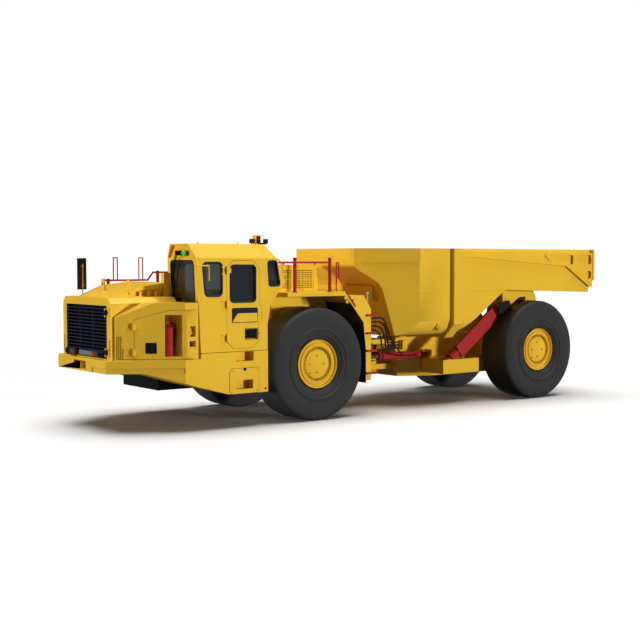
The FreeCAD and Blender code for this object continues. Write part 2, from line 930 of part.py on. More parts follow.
# ------------------------------------------------------------------ front unit
def make_front_chassis():
    """Spine box over the front axle, with the two-storey hitch at its rear end."""
    half = S.chassis_width / 2
    front = NOSE - S.nose_taper
    rear = HINGE + S.hitch_ahead
    arch_front = FRONT_AXLE + S.axle_arch_half
    arch_rear = FRONT_AXLE - S.axle_arch_half
    body = new_body("chassis_spine")
    side_view = [
        (front, S.chassis_bottom),
        (front, S.deck_top),
        (FRONT_AXLE + S.spine_ahead, S.deck_top),
        (FRONT_AXLE + S.spine_ahead, S.chassis_spine_top),
        (FRONT_AXLE - S.spine_behind, S.chassis_spine_top),
        (rear + S.spine_ramp, S.hitch_top + S.spine_lip),
        (rear, S.hitch_top),
        (rear, S.chassis_bottom),
        (arch_rear, S.chassis_bottom),
        (arch_rear, S.axle_arch_top),
        (arch_front, S.axle_arch_top),
        (arch_front, S.chassis_bottom),
    ]
    pad(body, "XZ_Plane", side_view, -half, half)
    wide = S.hitch_width / 2
    ear = S.hitch_ear_radius
    bend = ear - S.sink
    end = HINGE - S.hitch_reach
    web_front = HINGE + S.hitch_web_ahead
    neck_front = HINGE + S.hitch_neck_ahead
    roof = [(rear, -wide), (rear, wide), (end, wide, S.hitch_corner), (end, -wide, S.hitch_corner)]
    tongue = [
        (rear, -wide),
        (web_front, -wide),
        (neck_front, -ear),
        (HINGE - ear, -ear, bend),
        (HINGE - ear, ear, bend),
        (neck_front, ear),
        (web_front, wide),
        (rear, wide),
    ]
    web = rectangle(rear, -wide, web_front, wide)
    upper_floor = S.upper_lug_bottom - S.moving_gap
    lower_roof = S.lower_lug_top + S.moving_gap
    lower_floor = S.lower_lug_bottom - S.moving_gap
    pad(body, "XY_Plane", roof, S.upper_lug_top + S.moving_gap, S.hitch_top)
    pad(body, "XY_Plane", tongue, upper_floor - S.hitch_plate, upper_floor)
    pad(body, "XY_Plane", tongue, lower_roof, lower_roof + S.hitch_plate)
    pad(body, "XY_Plane", tongue, lower_floor - S.hitch_plate, lower_floor)
    pad(body, "XY_Plane", web, lower_floor - S.hitch_plate, lower_roof + S.hitch_plate)
    pad(body, "XY_Plane", web, upper_floor - S.hitch_plate, S.hitch_top)
    lane = S.steer_front_lane
    half_eye = S.steer_eye_width / 2 + S.moving_gap
    for side in SIDES.values():
        low, high = span(side, wide - S.hitch_wall, wide)
        cheek = rectangle(end + S.hitch_corner / 2, upper_floor, rear, S.hitch_top)
        pad(body, "XZ_Plane", cheek, low, high)
        low, high = span(side, lane - S.steer_eye_radius, lane + S.steer_eye_radius)
        plate = rectangle(HINGE + S.steer_front_ahead - S.steer_eye_radius, low, rear, high)
        above = S.steer_height + half_eye
        below = S.steer_height - half_eye
        pad(body, "XY_Plane", plate, above, above + S.ear_plate)
        pad(body, "XY_Plane", plate, below - S.ear_plate, below)
    pins = []
    storeys = {
        "lower": (lower_floor - S.hitch_plate, lower_roof + S.hitch_plate),
        "upper": (upper_floor - S.hitch_plate, S.hitch_top),
    }
    for name, (low, high) in storeys.items():
        pins.append(rod("hitch_pin_" + name, S.hitch_pin_radius, high - low, (HINGE, 0, low), (0, 0, 1)))
    node(combine("MultiFuse", "front_chassis", [body] + pins))


def make_axle(label, centre_x):
    """Axle tube with its differential bowl, hub spindles and saddle pads."""
    half_tube = S.chassis_width / 2 + S.axle_tube_end
    half_bowl = S.axle_bowl_width / 2
    half_spindle = WHEEL_LANE + S.spindle_end
    pieces = []
    for name, radius, half in (
        ("tube", S.axle_tube_radius, half_tube),
        ("bowl", S.axle_bowl_radius, half_bowl),
        ("spindle", S.hub_bore, half_spindle),
    ):
        base = (centre_x, -half, WHEEL_RADIUS)
        pieces.append(rod("%s_%s" % (label, name), radius, half * 2, base, (0, 1, 0)))
    front = centre_x + S.saddle_half_length
    rear = centre_x - S.saddle_half_length
    chassis_side = S.chassis_width / 2
    for name, side in SIDES.items():
        low, high = span(side, chassis_side - S.saddle_inner, chassis_side - S.saddle_outer)
        base = (rear, low, WHEEL_RADIUS)
        pieces.append(block(label + "_saddle_" + name, base, (front, high, S.axle_arch_top)))
    node(combine("MultiFuse", label, pieces))


def make_nose_deck():
    """Bumper deck: two slots and a raised block in front, a lower band set in on the left."""
    wide = S.nose_width / 2
    rear = NOSE - S.nose_taper
    step = S.band_step
    body = new_body("nose_deck")
    plan = [
        (NOSE, -wide, S.nose_corner),
        (NOSE, wide, S.nose_corner),
        (rear, SIDE),
        (rear, -SIDE),
    ]
    pad(body, "XY_Plane", plan, S.band_bottom, S.deck_top)
    low_plan = [
        (NOSE, -wide, S.nose_corner),
        (NOSE, S.band_start),
        (NOSE - step, S.band_start),
        (NOSE - step, wide - step / 2, S.nose_corner),
        (rear, SIDE - step),
        (rear, -SIDE),
    ]
    pad(body, "XY_Plane", low_plan, S.nose_bottom, S.band_bottom)
    for low, high in (
        (-S.bumper_slot_right, -S.bumper_bar_right),
        (-S.bumper_bar_left, S.bumper_slot_left),
    ):
        slot = rectangle(low, S.bumper_slot_bottom, high, S.bumper_slot_top)
        cut(body, "YZ_Plane", slot, NOSE - S.bumper_slot_depth, NOSE + S.overcut)
    raised = rectangle(NOSE - S.bumper_block_length, -S.bumper_block_outer, NOSE, -S.bumper_block_inner)
    pad(body, "XY_Plane", raised, S.deck_top, S.deck_top + S.bumper_block_rise)
    node(body)


def make_pods():
    """Side pods under the cab and its twin, each with two step recesses."""
    rear = NOSE - S.nose_taper
    tail_end = NOSE - S.pod_rear_back
    side_view = [
        (rear, S.deck_top),
        (rear, S.nose_bottom),
        (rear + S.pod_lip_length, S.nose_bottom),
        (NOSE - S.pod_front_back, S.pod_front_bottom),
        (NOSE - S.pod_knee_back, S.pod_bottom),
        (tail_end, S.pod_bottom),
        (tail_end, S.cab_floor),
        (NOSE - S.cab_front_back, S.cab_floor),
        (NOSE - S.cab_front_back, S.deck_top),
    ]
    body = new_body("pod_l")
    pad(body, "XZ_Plane", side_view, S.chassis_width / 2, SIDE)
    corner = [(rear, SIDE), (NOSE, SIDE), (NOSE, S.nose_width / 2)]
    cut(body, "XY_Plane", corner, S.pod_bottom - S.overcut, S.cab_floor + S.overcut)
    front = NOSE - S.pod_recess_back
    for rise in (S.pod_recess_low, S.pod_recess_high):
        bottom = S.pod_bottom + rise
        recess = rectangle(front - S.pod_recess_width, bottom, front, bottom + S.pod_recess_height)
        cut(body, "XZ_Plane", recess, SIDE - S.pod_recess_depth, SIDE + S.overcut)
    node(body)
    node(mirrored("pod_r", body))


def make_hood():
    """Engine hood: a bevelled tunnel, open below and at the grille, with its hump; returns its form."""
    front = NOSE - S.hood_front_back
    rear = NOSE - S.hood_rear_back
    half = S.hood_width / 2
    flat = half - S.hood_bevel
    top = S.hood_shoulder
    wall = S.hood_wall
    low = S.deck_top - S.sink
    body = new_body("hood_sheet")
    arch = [
        (-half, S.deck_top),
        (-half, top - S.hood_bevel),
        (-flat, top),
        (flat, top),
        (half, top - S.hood_bevel),
        (half, S.deck_top),
    ]
    pad(body, "YZ_Plane", arch, rear, front)
    bevel_foot = top - S.hood_bevel - wall / 2
    hollow = [
        (wall - half, low),
        (wall - half, bevel_foot),
        (wall / 2 - flat, top - wall),
        (flat - wall / 2, top - wall),
        (half - wall, bevel_foot),
        (half - wall, low),
    ]
    cut(body, "YZ_Plane", hollow, rear + wall, front - S.grille_frame)
    window = rectangle(-S.grille_half_width, S.grille_bottom, S.grille_half_width, S.grille_top)
    cut(body, "YZ_Plane", window, front - S.grille_frame - S.sink, front + S.sink)
    hump = [
        (front - S.hump_start, top),
        (front - S.hump_knee, top + S.hump_knee_rise),
        (rear + S.hump_flat, S.hump_top),
        (rear, S.hump_top),
        (rear, top),
    ]
    flank = S.hump_left_width
    pad(body, "XZ_Plane", hump, -S.hump_right_width, flank)
    sill = top + S.intake_sill
    mouth_front = front - S.intake_front
    mouth_rear = front - S.intake_rear
    mouth = [
        (mouth_rear, sill),
        (mouth_front, sill),
        (mouth_front, top + S.intake_front_rise),
        (mouth_rear, top + S.intake_rear_rise),
    ]
    cut(body, "XZ_Plane", mouth, flank - S.intake_depth, flank + S.overcut)
    pitch = (mouth_front - mouth_rear) / (S.intake_columns + 1)
    column_rear = mouth_rear + pitch
    column_front = column_rear + S.intake_column
    bar = rectangle(column_rear, top, column_front, top + S.intake_front_rise)
    first = pad(body, "XZ_Plane", bar, flank - S.intake_depth, flank)
    rows = body.newObject("PartDesign::LinearPattern", "intake_bars")
    rows.Originals = [first]
    rows.Direction = (first.Profile[0], ["H_Axis"])
    rows.setExpression("Length", text_of(pitch * (S.intake_columns - 1)))
    rows.setExpression("Occurrences", text_of(S.intake_columns))
    body.Tip = rows
    column = rectangle(NOSE - S.column_back - S.column_length, flank - S.column_width,
                       NOSE - S.column_back, flank)
    pad(body, "XY_Plane", column, top, S.column_top)
    node(combine("MultiFuse", "hood", [body] + make_grille()))
    make_lifting_eyes(body)
    return body


def make_lifting_eyes(hood):
    """Two upright plates on the hood's hump, each with a round hole for a shackle."""
    front = NOSE - S.lifting_eye_back
    back = front - S.lifting_eye_plate
    half = S.lifting_eye_width / 2
    neck = S.lifting_eye_neck / 2
    top = S.lifting_eye_height + S.lifting_eye_rise
    plates = []
    holes = []
    for name, centre in (("l", S.lifting_eye_left), ("r", -S.lifting_eye_right)):
        plate = [
            (centre - half, S.lifting_eye_foot),
            (centre + half, S.lifting_eye_foot),
            (centre + neck, top, S.lifting_eye_corner),
            (centre - neck, top, S.lifting_eye_corner),
        ]
        plates.append(prism("lifting_plate_" + name, "YZ_Plane", plate, back, front))
        base = (back - S.lifting_eye_plate / 2, centre, S.lifting_eye_height)
        hole_length = S.lifting_eye_plate * 2
        holes.append(rod("lifting_hole_" + name, S.lifting_eye_radius, hole_length, base, (1, 0, 0)))
    solid = combine("MultiFuse", "lifting_plates", plates)
    removed = combine("MultiFuse", "lifting_removed", holes + [hood])
    node(combine("Cut", "lifting_eyes", [solid, removed]))


def make_grille():
    """Grille door: a frame with level slats, two upright dividers and its lamp housings."""
    front = NOSE - S.hood_front_back
    back = front - S.grille_depth
    half = S.grille_half_width - S.door_gap
    low = S.grille_bottom + S.door_gap
    high = S.grille_top - S.door_gap
    rim = S.grille_rim
    body = new_body("grille_panel")
    pad(body, "YZ_Plane", rectangle(-half, low, half, high), back, front)
    pitch = (high - low) / (S.slat_count + 1)
    slot = rectangle(rim - half, low + S.slat_height, half - rim, low + pitch)
    first = cut(body, "YZ_Plane", slot, back - S.sink, front + S.sink)
    rows = body.newObject("PartDesign::LinearPattern", "slat_rows")
    rows.Originals = [first]
    rows.Direction = (first.Profile[0], ["V_Axis"])
    rows.setExpression("Length", text_of(pitch * S.slat_count))
    rows.setExpression("Occurrences", text_of(S.slat_count + 1))
    body.Tip = rows
    for edge in (S.divider_left, -S.divider_right):
        bar = rectangle(edge, low + S.sink, edge + S.divider_width, high - S.sink)
        pad(body, "YZ_Plane", bar, front - S.divider_depth, front - S.divider_depth / 2)
    door_side, frame_side = make_hinge(
        "grille_hinge", front + S.hinge_stand, S.grille_half_width + S.grille_hinge_side,
        S.right_angle, RIGHT,
        (S.grille_bottom + S.grille_hinge_inset, S.grille_top - S.grille_hinge_inset))
    node(combine("MultiFuse", "grille_door", [body] + door_side))
    lamps = new_body("grille_lamps")
    for inner, outer in ((S.lamp_inner, S.lamp_outer), (-S.lamp_far_outer, -S.lamp_far_inner)):
        housing = rectangle(inner, low, outer, low + S.lamp_height)
        pad(lamps, "YZ_Plane", housing, front, front + S.lamp_depth)
    node(lamps)
    return frame_side


def make_engine():
    front = NOSE - S.hood_front_back - S.engine_setback
    half = S.engine_width / 2
    low = (front - S.engine_length, -half, S.deck_top)
    node(block("engine_block", low, (front, half, S.deck_top + S.engine_height)))


def make_side_box(label):
    """Cupboard beside the hood, tapered in plan, with a sloping roof line."""
    front = NOSE - S.box_front_back
    rear = NOSE - S.box_rear_back
    hood_side = S.hood_width / 2
    narrow = S.box_front_width / 2
    taper_end = NOSE - S.nose_taper
    body = new_body(label)
    plan = [(front, hood_side), (front, narrow), (taper_end, SIDE), (rear, SIDE), (rear, hood_side)]
    pad(body, "XY_Plane", plan, S.deck_top, S.box_top)
    roof_knee = NOSE - S.box_slope_back
    above = S.box_top + S.overcut
    roof = [
        (front + S.overcut, S.box_low_top),
        (roof_knee, S.box_top),
        (roof_knee, above),
        (front + S.overcut, above),
    ]
    cut(body, "XZ_Plane", roof, hood_side - S.overcut, SIDE + S.overcut)
    return body


def flank_slope():
    """How much further out the tapered flank lies for each millimetre forward: below zero."""
    run = S.nose_taper - S.box_front_back
    return (S.box_front_width / 2 - SIDE) / run


def flank_y(x):
    """The tapered flank's outer side at a distance along the truck."""
    return SIDE + flank_slope() * (x - (NOSE - S.nose_taper))


def flank_recess(front, rear, depth):
    """Plan of a recess in the tapered flank, from its floor out past the body side."""
    return [
        (front, flank_y(front) - depth),
        (front, SIDE + S.overcut),
        (rear, SIDE + S.overcut),
        (rear, flank_y(rear) - depth),
    ]


def box_door_plan():
    """Plan of the bent service door between its front edge and the box's rear end."""
    front = NOSE - S.door_front_back
    rear = NOSE - S.box_rear_back
    taper_end = NOSE - S.nose_taper
    thickness = S.door_thickness
    front_y = flank_y(front)
    return [
        (front, front_y),
        (taper_end, SIDE),
        (rear, SIDE),
        (rear, SIDE - thickness),
        (taper_end - thickness / 2, SIDE - thickness),
        (front - thickness / 2, front_y - thickness),
    ]


def make_side_boxes():
    """The left cupboard with its opening, and the closed right one."""
    wall = S.box_wall
    hood_side = S.hood_width / 2
    left = make_side_box("side_box_sheet")
    front = NOSE - S.door_front_back + S.door_gap
    rear = NOSE - S.box_rear_back
    sill = S.deck_top - S.sink
    head = S.door_top + S.door_gap
    opening = [
        (front, sill),
        (front, S.door_low_top + S.door_gap),
        (NOSE - S.door_knee_back, head),
        (rear + wall, head),
        (rear + wall, sill),
    ]
    cut(left, "XZ_Plane", opening, hood_side + wall, SIDE + S.overcut)
    rebate = rectangle(rear - S.overcut, sill, rear + wall + S.sink, head)
    cut(left, "XZ_Plane", rebate, SIDE - S.door_thickness - S.door_gap, SIDE + S.overcut)
    node(mirrored("side_box_r", make_side_box("side_box_twin")))
    frame_side = make_service_door()
    node(combine("MultiFuse", "side_box_l", [left] + frame_side))
    make_extinguisher()


def make_service_door():
    """Bent door of the left cupboard, with its port, pockets and the bottle's alcove."""
    door = new_body("service_door_panel")
    front = NOSE - S.door_front_back
    rear = NOSE - S.box_rear_back
    knee = NOSE - S.door_knee_back
    pad(door, "XY_Plane", box_door_plan(), S.deck_top + S.door_lift, S.door_top)
    above = S.door_top + S.overcut
    corner = [
        (front + S.overcut, S.door_low_top),
        (knee, S.door_top),
        (knee, above),
        (front + S.overcut, above),
    ]
    cut(door, "XZ_Plane", corner, S.hood_width / 2, SIDE + S.overcut)
    sheet = S.alcove_sheet
    alcove_front = NOSE - S.alcove_front
    alcove_rear = NOSE - S.alcove_rear
    floor_y = flank_y(alcove_front) - S.alcove_depth + S.door_thickness
    inside = [
        (alcove_front, floor_y),
        (alcove_front, SIDE + S.overcut),
        (alcove_rear, SIDE + S.overcut),
        (alcove_rear, floor_y),
    ]
    around = [
        (alcove_front + sheet, floor_y - sheet),
        (alcove_front + sheet, flank_y(alcove_front + sheet) - sheet),
        (alcove_rear - sheet, flank_y(alcove_rear - sheet) - sheet),
        (alcove_rear - sheet, floor_y - sheet),
    ]
    pad(door, "XY_Plane", around, S.alcove_bottom - sheet, S.alcove_top + sheet)
    cut(door, "XY_Plane", inside, S.alcove_bottom, S.alcove_top)
    port = flank_recess(NOSE - S.port_front, NOSE - S.port_rear, S.port_depth)
    cut(door, "XY_Plane", port, S.port_bottom, S.port_top)
    pocket_front = NOSE - S.pocket_front
    pocket_rear = NOSE - S.pocket_rear
    floor_y = SIDE - S.pocket_depth
    around = rectangle(pocket_rear - sheet, S.pocket_bottom - sheet,
                       pocket_front + sheet, S.pocket_top + sheet)
    pad(door, "XZ_Plane", around, floor_y - sheet, SIDE - sheet)
    pocket = rectangle(pocket_rear, S.pocket_bottom, pocket_front, S.pocket_top)
    cut(door, "XZ_Plane", pocket, floor_y, SIDE + S.overcut)
    stop = rectangle(pocket_rear, S.stop_bottom, pocket_front, S.stop_top)
    cut(door, "XZ_Plane", stop, SIDE - S.stop_depth, SIDE + S.overcut)
    run = S.nose_taper - S.box_front_back
    fall = SIDE - S.box_front_width / 2
    slant = root_of_squares(run, fall)
    stand = S.hinge_stand
    inset = S.service_hinge_inset
    axis_x = front + fall / slant * stand + run / slant * inset
    axis_y = flank_y(front) + run / slant * stand - fall / slant * inset
    door_side, frame_side = make_hinge(
        "service_hinge", axis_x, axis_y, -slope_angle(run, fall), LEFT,
        (S.deck_top + S.service_hinge_low, S.door_low_top - S.service_hinge_high))
    node(combine("MultiFuse", "service_door", [door] + door_side))
    return frame_side


def make_extinguisher():
    """Fire bottle that stands in the door's alcove: bottle, neck and valve head."""
    front = NOSE - S.alcove_front
    centre_x = front - (S.alcove_rear - S.alcove_front) / 2
    back_y = flank_y(front) - S.alcove_depth + S.door_thickness
    centre_y = back_y + S.bottle_radius + S.seat_gap
    foot = S.alcove_bottom + S.seat_gap
    shoulder = foot + S.bottle_height
    crown = shoulder + S.bottle_neck
    up = (0, 0, 1)
    half = S.bottle_head / 2
    pieces = [
        rod("bottle", S.bottle_radius, S.bottle_height, (centre_x, centre_y, foot), up),
        rod("bottle_neck", S.bottle_neck_radius, S.bottle_neck, (centre_x, centre_y, shoulder), up),
        block("bottle_head", (centre_x - half, centre_y - half, crown),
              (centre_x + S.bottle_head_reach, centre_y + half, crown + S.bottle_head)),
    ]
    node(combine("MultiFuse", "extinguisher", pieces))


def make_mid_housing():
    """Closed body behind the hood and beside the cab, up to the deck."""
    front = NOSE - S.hood_rear_back
    box_rear = NOSE - S.box_rear_back
    hood_side = S.hood_width / 2
    pod_rear = NOSE - S.pod_rear_back
    step = FRONT_AXLE + S.spine_ahead
    inner = FENDER_INNER
    body = new_body("mid_housing")
    plan = [
        (front, CAB_SIDE),
        (front, -hood_side),
        (box_rear, -hood_side),
        (box_rear, -SIDE),
        (pod_rear, -SIDE),
        (pod_rear, -inner),
        (step, -inner),
        (step, CAB_SIDE),
    ]
    pad(body, "XY_Plane", plan, S.cab_floor, DECK)
    back = rectangle(FRONT_AXLE - S.housing_rear, -inner, step, inner)
    pad(body, "XY_Plane", back, S.chassis_spine_top, DECK)
    foot = rectangle(step, -S.chassis_width / 2, front, CAB_SIDE)
    pad(body, "XY_Plane", foot, S.deck_top, S.cab_floor)
    node(body)


# ------------------------------------------------------------------ cab
def cab_side_view(inset):
    """Side outline of the cab, drawn in by an inset all round."""
    floor = S.cab_floor
    return [
        (CAB_FRONT - inset, floor + inset),
        (CAB_FRONT + S.cab_front_lean - inset, S.cab_eave - inset / 2),
        (CAB_FRONT + S.cab_roof_front - inset, S.cab_roof - inset),
        (CAB_REAR - S.cab_roof_rear + inset, S.cab_roof - inset),
        (CAB_REAR - S.cab_neck + inset, S.cab_eave),
        (CAB_REAR - S.cab_hollow + inset, floor + S.cab_hollow_rise),
        (CAB_REAR - S.cab_hollow_foot + inset, floor + S.cab_hollow_foot_rise),
        (CAB_REAR - S.cab_hip + inset, floor + S.cab_hip_rise),
        (CAB_REAR + inset, floor + S.cab_heel_rise),
        (CAB_REAR + inset, floor + inset),
    ]


def cab_end_view(inset):
    half_inset = inset / 2
    return [
        (CAB_SIDE + inset, S.cab_floor + inset),
        (SIDE - inset, S.cab_floor + inset),
        (SIDE - inset, S.cab_eave - half_inset),
        (SIDE - S.cab_roof_inset - half_inset, S.cab_roof - inset),
        (CAB_SIDE + S.cab_roof_inset_far + half_inset, S.cab_roof - inset),
        (CAB_SIDE + inset, S.cab_eave - half_inset),
    ]


def cab_solid(label, side_view, end_view):
    """The piece that has both outlines."""
    past = S.cab_width
    length = prism(label + "_side", "XZ_Plane", side_view, CAB_SIDE - S.overcut, SIDE + S.overcut)
    width = prism(label + "_end", "YZ_Plane", end_view, CAB_REAR - past, CAB_FRONT + past)
    return combine("MultiCommon", label, [length, width])


def cab_visor():
    """Roof brow ahead of the windscreen, and the hollow under it."""
    eave_x = CAB_FRONT + S.cab_front_lean
    tip = CAB_FRONT + S.visor_reach
    brow = [
        (eave_x - S.visor_root, S.cab_eave),
        (eave_x, S.cab_eave),
        (tip, S.cab_roof),
        (CAB_FRONT, S.cab_roof),
    ]
    wall = S.visor_wall
    low = S.cab_eave + S.visor_rise
    high = S.cab_roof - S.visor_sheet
    under = [
        (CAB_SIDE + wall, low),
        (SIDE - wall, low),
        (SIDE - S.cab_roof_inset - wall, high),
        (CAB_SIDE + S.cab_roof_inset_far + wall, high),
    ]
    solid = cab_solid("cab_visor", brow, cab_end_view(S.zero))
    hollow = prism("cab_visor_hollow", "YZ_Plane", under, CAB_FRONT + S.visor_root, tip + S.visor_reach)
    return solid, hollow


def cab_door_view(grow):
    """Door outline in side view, grown all round by a gap."""
    front = DOOR_FRONT + grow
    low = S.cab_floor + S.door_foot - grow
    high = S.cab_floor + S.door_head + grow
    rear = DOOR_FRONT - grow
    return [
        (front - S.door_corner, low),
        (front, low + S.door_corner_foot),
        (front, high - S.door_corner_head),
        (front - S.door_corner, high),
        (rear + grow - S.door_head_rear, high),
        (rear - S.door_rear, high - S.door_rear_shoulder),
        (rear - S.door_rear, S.cab_floor + S.door_bay_top),
        (rear - S.door_bay, S.cab_floor + S.door_bay_shoulder),
        (rear - S.door_bay, S.cab_floor + S.door_bay_hip),
        (rear - S.door_rear_low, S.cab_floor + S.door_bay_foot),
        (rear - S.door_rear_low, low + S.door_corner_foot),
        (rear + grow - S.door_foot_rear, low),
    ]


def window_views():
    """Cab side windows: the front quarter light and the rear quarter light."""
    floor = S.cab_floor
    corner = S.window_corner
    front = [
        (CAB_FRONT - S.quarter_front, floor + S.quarter_top, corner),
        (CAB_FRONT - S.quarter_rear, floor + S.quarter_top, corner),
        (CAB_FRONT - S.quarter_rear, floor + S.quarter_bottom, corner),
        (CAB_FRONT - S.quarter_front_foot, floor + S.quarter_bottom, corner),
    ]
    corner = S.rear_window_corner
    rear = [
        (CAB_REAR - S.rear_window_front, floor + S.rear_window_top, corner),
        (CAB_REAR - S.rear_window_rear, floor + S.rear_window_top, corner),
        (CAB_REAR - S.rear_window_rear_foot, floor + S.rear_window_bottom, corner),
        (CAB_REAR - S.rear_window_front_foot, floor + S.rear_window_bottom, corner),
    ]
    return {"front": front, "rear": rear}


def rounded_rectangle(low_u, low_v, high_u, high_v, radius):
    return [(u, v, radius) for u, v in rectangle(low_u, low_v, high_u, high_v)]


def door_window():
    floor = S.cab_floor
    return rounded_rectangle(DOOR_FRONT - S.pane_rear, floor + S.pane_bottom, DOOR_FRONT - S.pane_front,
                             floor + S.pane_top, S.window_corner)


def make_cab():
    """Hollow cab with its cut windows, panes, hinged door and seat; returns its outer form."""
    inner = cab_solid("cab_inner", cab_side_view(S.cab_wall), cab_end_view(S.cab_wall))
    body = cab_solid("cab_body", cab_side_view(S.zero), cab_end_view(S.zero))
    visor, visor_hollow = cab_visor()
    outer = combine("MultiFuse", "cab_outer", [body, visor])
    past = S.cab_wall + S.overcut
    tools = [inner, visor_hollow]
    reach = (SIDE - past, SIDE + past)
    tools.append(prism("cab_door_opening", "XZ_Plane", cab_door_view(S.door_gap), *reach))
    glass = []
    pane_low = SIDE - S.cab_wall / 2 - S.glass_thickness
    for name, view in window_views().items():
        tools.append(prism("cab_window_" + name, "XZ_Plane", view, *reach))
        glass.append(prism("cab_pane_" + name, "XZ_Plane", view, pane_low, pane_low + S.glass_thickness))
    floor = S.cab_floor
    far = rounded_rectangle(CAB_FRONT - S.far_window_rear, floor + S.far_window_bottom,
                            CAB_FRONT - S.far_window_front, floor + S.far_window_top, S.window_corner)
    tools.append(prism("cab_far_opening", "XZ_Plane", far, CAB_SIDE - past, CAB_SIDE + past))
    far_low = CAB_SIDE + S.cab_wall / 2
    glass.append(prism("cab_pane_far", "XZ_Plane", far, far_low, far_low + S.glass_thickness))
    glass.append(make_windscreen(tools))
    hollow = combine("Cut", "cab_hollow", [outer, combine("MultiFuse", "cab_holes", tools)])
    heights = (floor + S.cab_hinge_low, floor + S.cab_hinge_middle, floor + S.cab_hinge_high)
    door_side, frame_side = make_hinge(
        "cab_hinge", DOOR_FRONT + S.cab_hinge_inset, SIDE + S.hinge_stand, S.zero, LEFT, heights)
    node(combine("MultiFuse", "cab_shell", [hollow] + frame_side))
    node(combine("MultiFuse", "cab_glass", glass))
    make_cab_door(door_side)
    make_seat()
    return outer


def make_windscreen(tools):
    """Adds the windscreen's opening to the tools and returns its leaning pane."""
    low_z = S.cab_floor + S.screen_sill
    high_z = S.cab_eave - S.screen_head
    far_y = CAB_SIDE + S.screen_far
    near_y = SIDE - S.screen_near
    screen = rounded_rectangle(far_y, low_z, near_y, high_z, S.window_corner)
    past = S.screen_overrun
    tools.append(prism("cab_screen_opening", "YZ_Plane", screen, CAB_FRONT - past, CAB_FRONT + past))
    lean = S.cab_front_lean / (S.cab_eave - S.cab_floor)
    low_x = CAB_FRONT + lean * S.screen_sill - S.cab_wall / 2
    high_x = CAB_FRONT + lean * (high_z - S.cab_floor) - S.cab_wall / 2
    strip = [
        (low_x - S.glass_thickness, low_z),
        (low_x, low_z),
        (high_x, high_z),
        (high_x - S.glass_thickness, high_z),
    ]
    return cab_solid("cab_pane_screen", strip, screen)


def make_cab_door(hinge_pieces):
    """Door panel with its window cut out, its handle's recess and its pane."""
    door = new_body("cab_door_panel")
    inner = SIDE - S.cab_door_thickness
    pad(door, "XZ_Plane", cab_door_view(S.zero), inner, SIDE)
    cut(door, "XZ_Plane", door_window(), inner - S.overcut, SIDE + S.overcut)
    handle = rectangle(DOOR_FRONT - S.handle_rear, S.cab_floor + S.handle_bottom,
                       DOOR_FRONT - S.handle_front, S.cab_floor + S.handle_top)
    cut(door, "XZ_Plane", handle, SIDE - S.handle_depth, SIDE + S.overcut)
    node(combine("MultiFuse", "cab_door", [door] + hinge_pieces))
    pane_low = SIDE - S.cab_door_thickness / 2 - S.glass_thickness
    node(prism("cab_door_glass", "XZ_Plane", door_window(), pane_low, pane_low + S.glass_thickness))


def make_seat():
    middle = (CAB_SIDE + SIDE) / 2
    floor = S.cab_floor + S.cab_wall
    view = [
        (CAB_REAR + S.seat_foot_rear, floor),
        (CAB_REAR + S.seat_foot_front, floor),
        (CAB_REAR + S.seat_front, floor + S.seat_pan),
        (CAB_REAR + S.seat_pan_rear, floor + S.seat_pan_back),
        (CAB_REAR + S.seat_top_front, floor + S.seat_top),
        (CAB_REAR + S.seat_rear, floor + S.seat_top - S.seat_top_fall),
        (CAB_REAR + S.seat_hip, floor + S.seat_hip_height),
    ]
    node(prism("seat", "XZ_Plane", view, middle - S.seat_half_width, middle + S.seat_half_width))


# ------------------------------------------------------------------ cab rails, roof lamps, mirror
def beacon_place():
    """The rear end of the mast's plate, and the middle plane of mast, beacon and lamps."""
    return CAB_REAR - S.beacon_mast_rear, SIDE - S.beacon_side


def mirror_place():
    """The middle of the far mirror and the inner side of its plate."""
    middle = NOSE - (S.mirror_front_back + S.mirror_rear_back) / 2
    return middle, -S.mirror_side


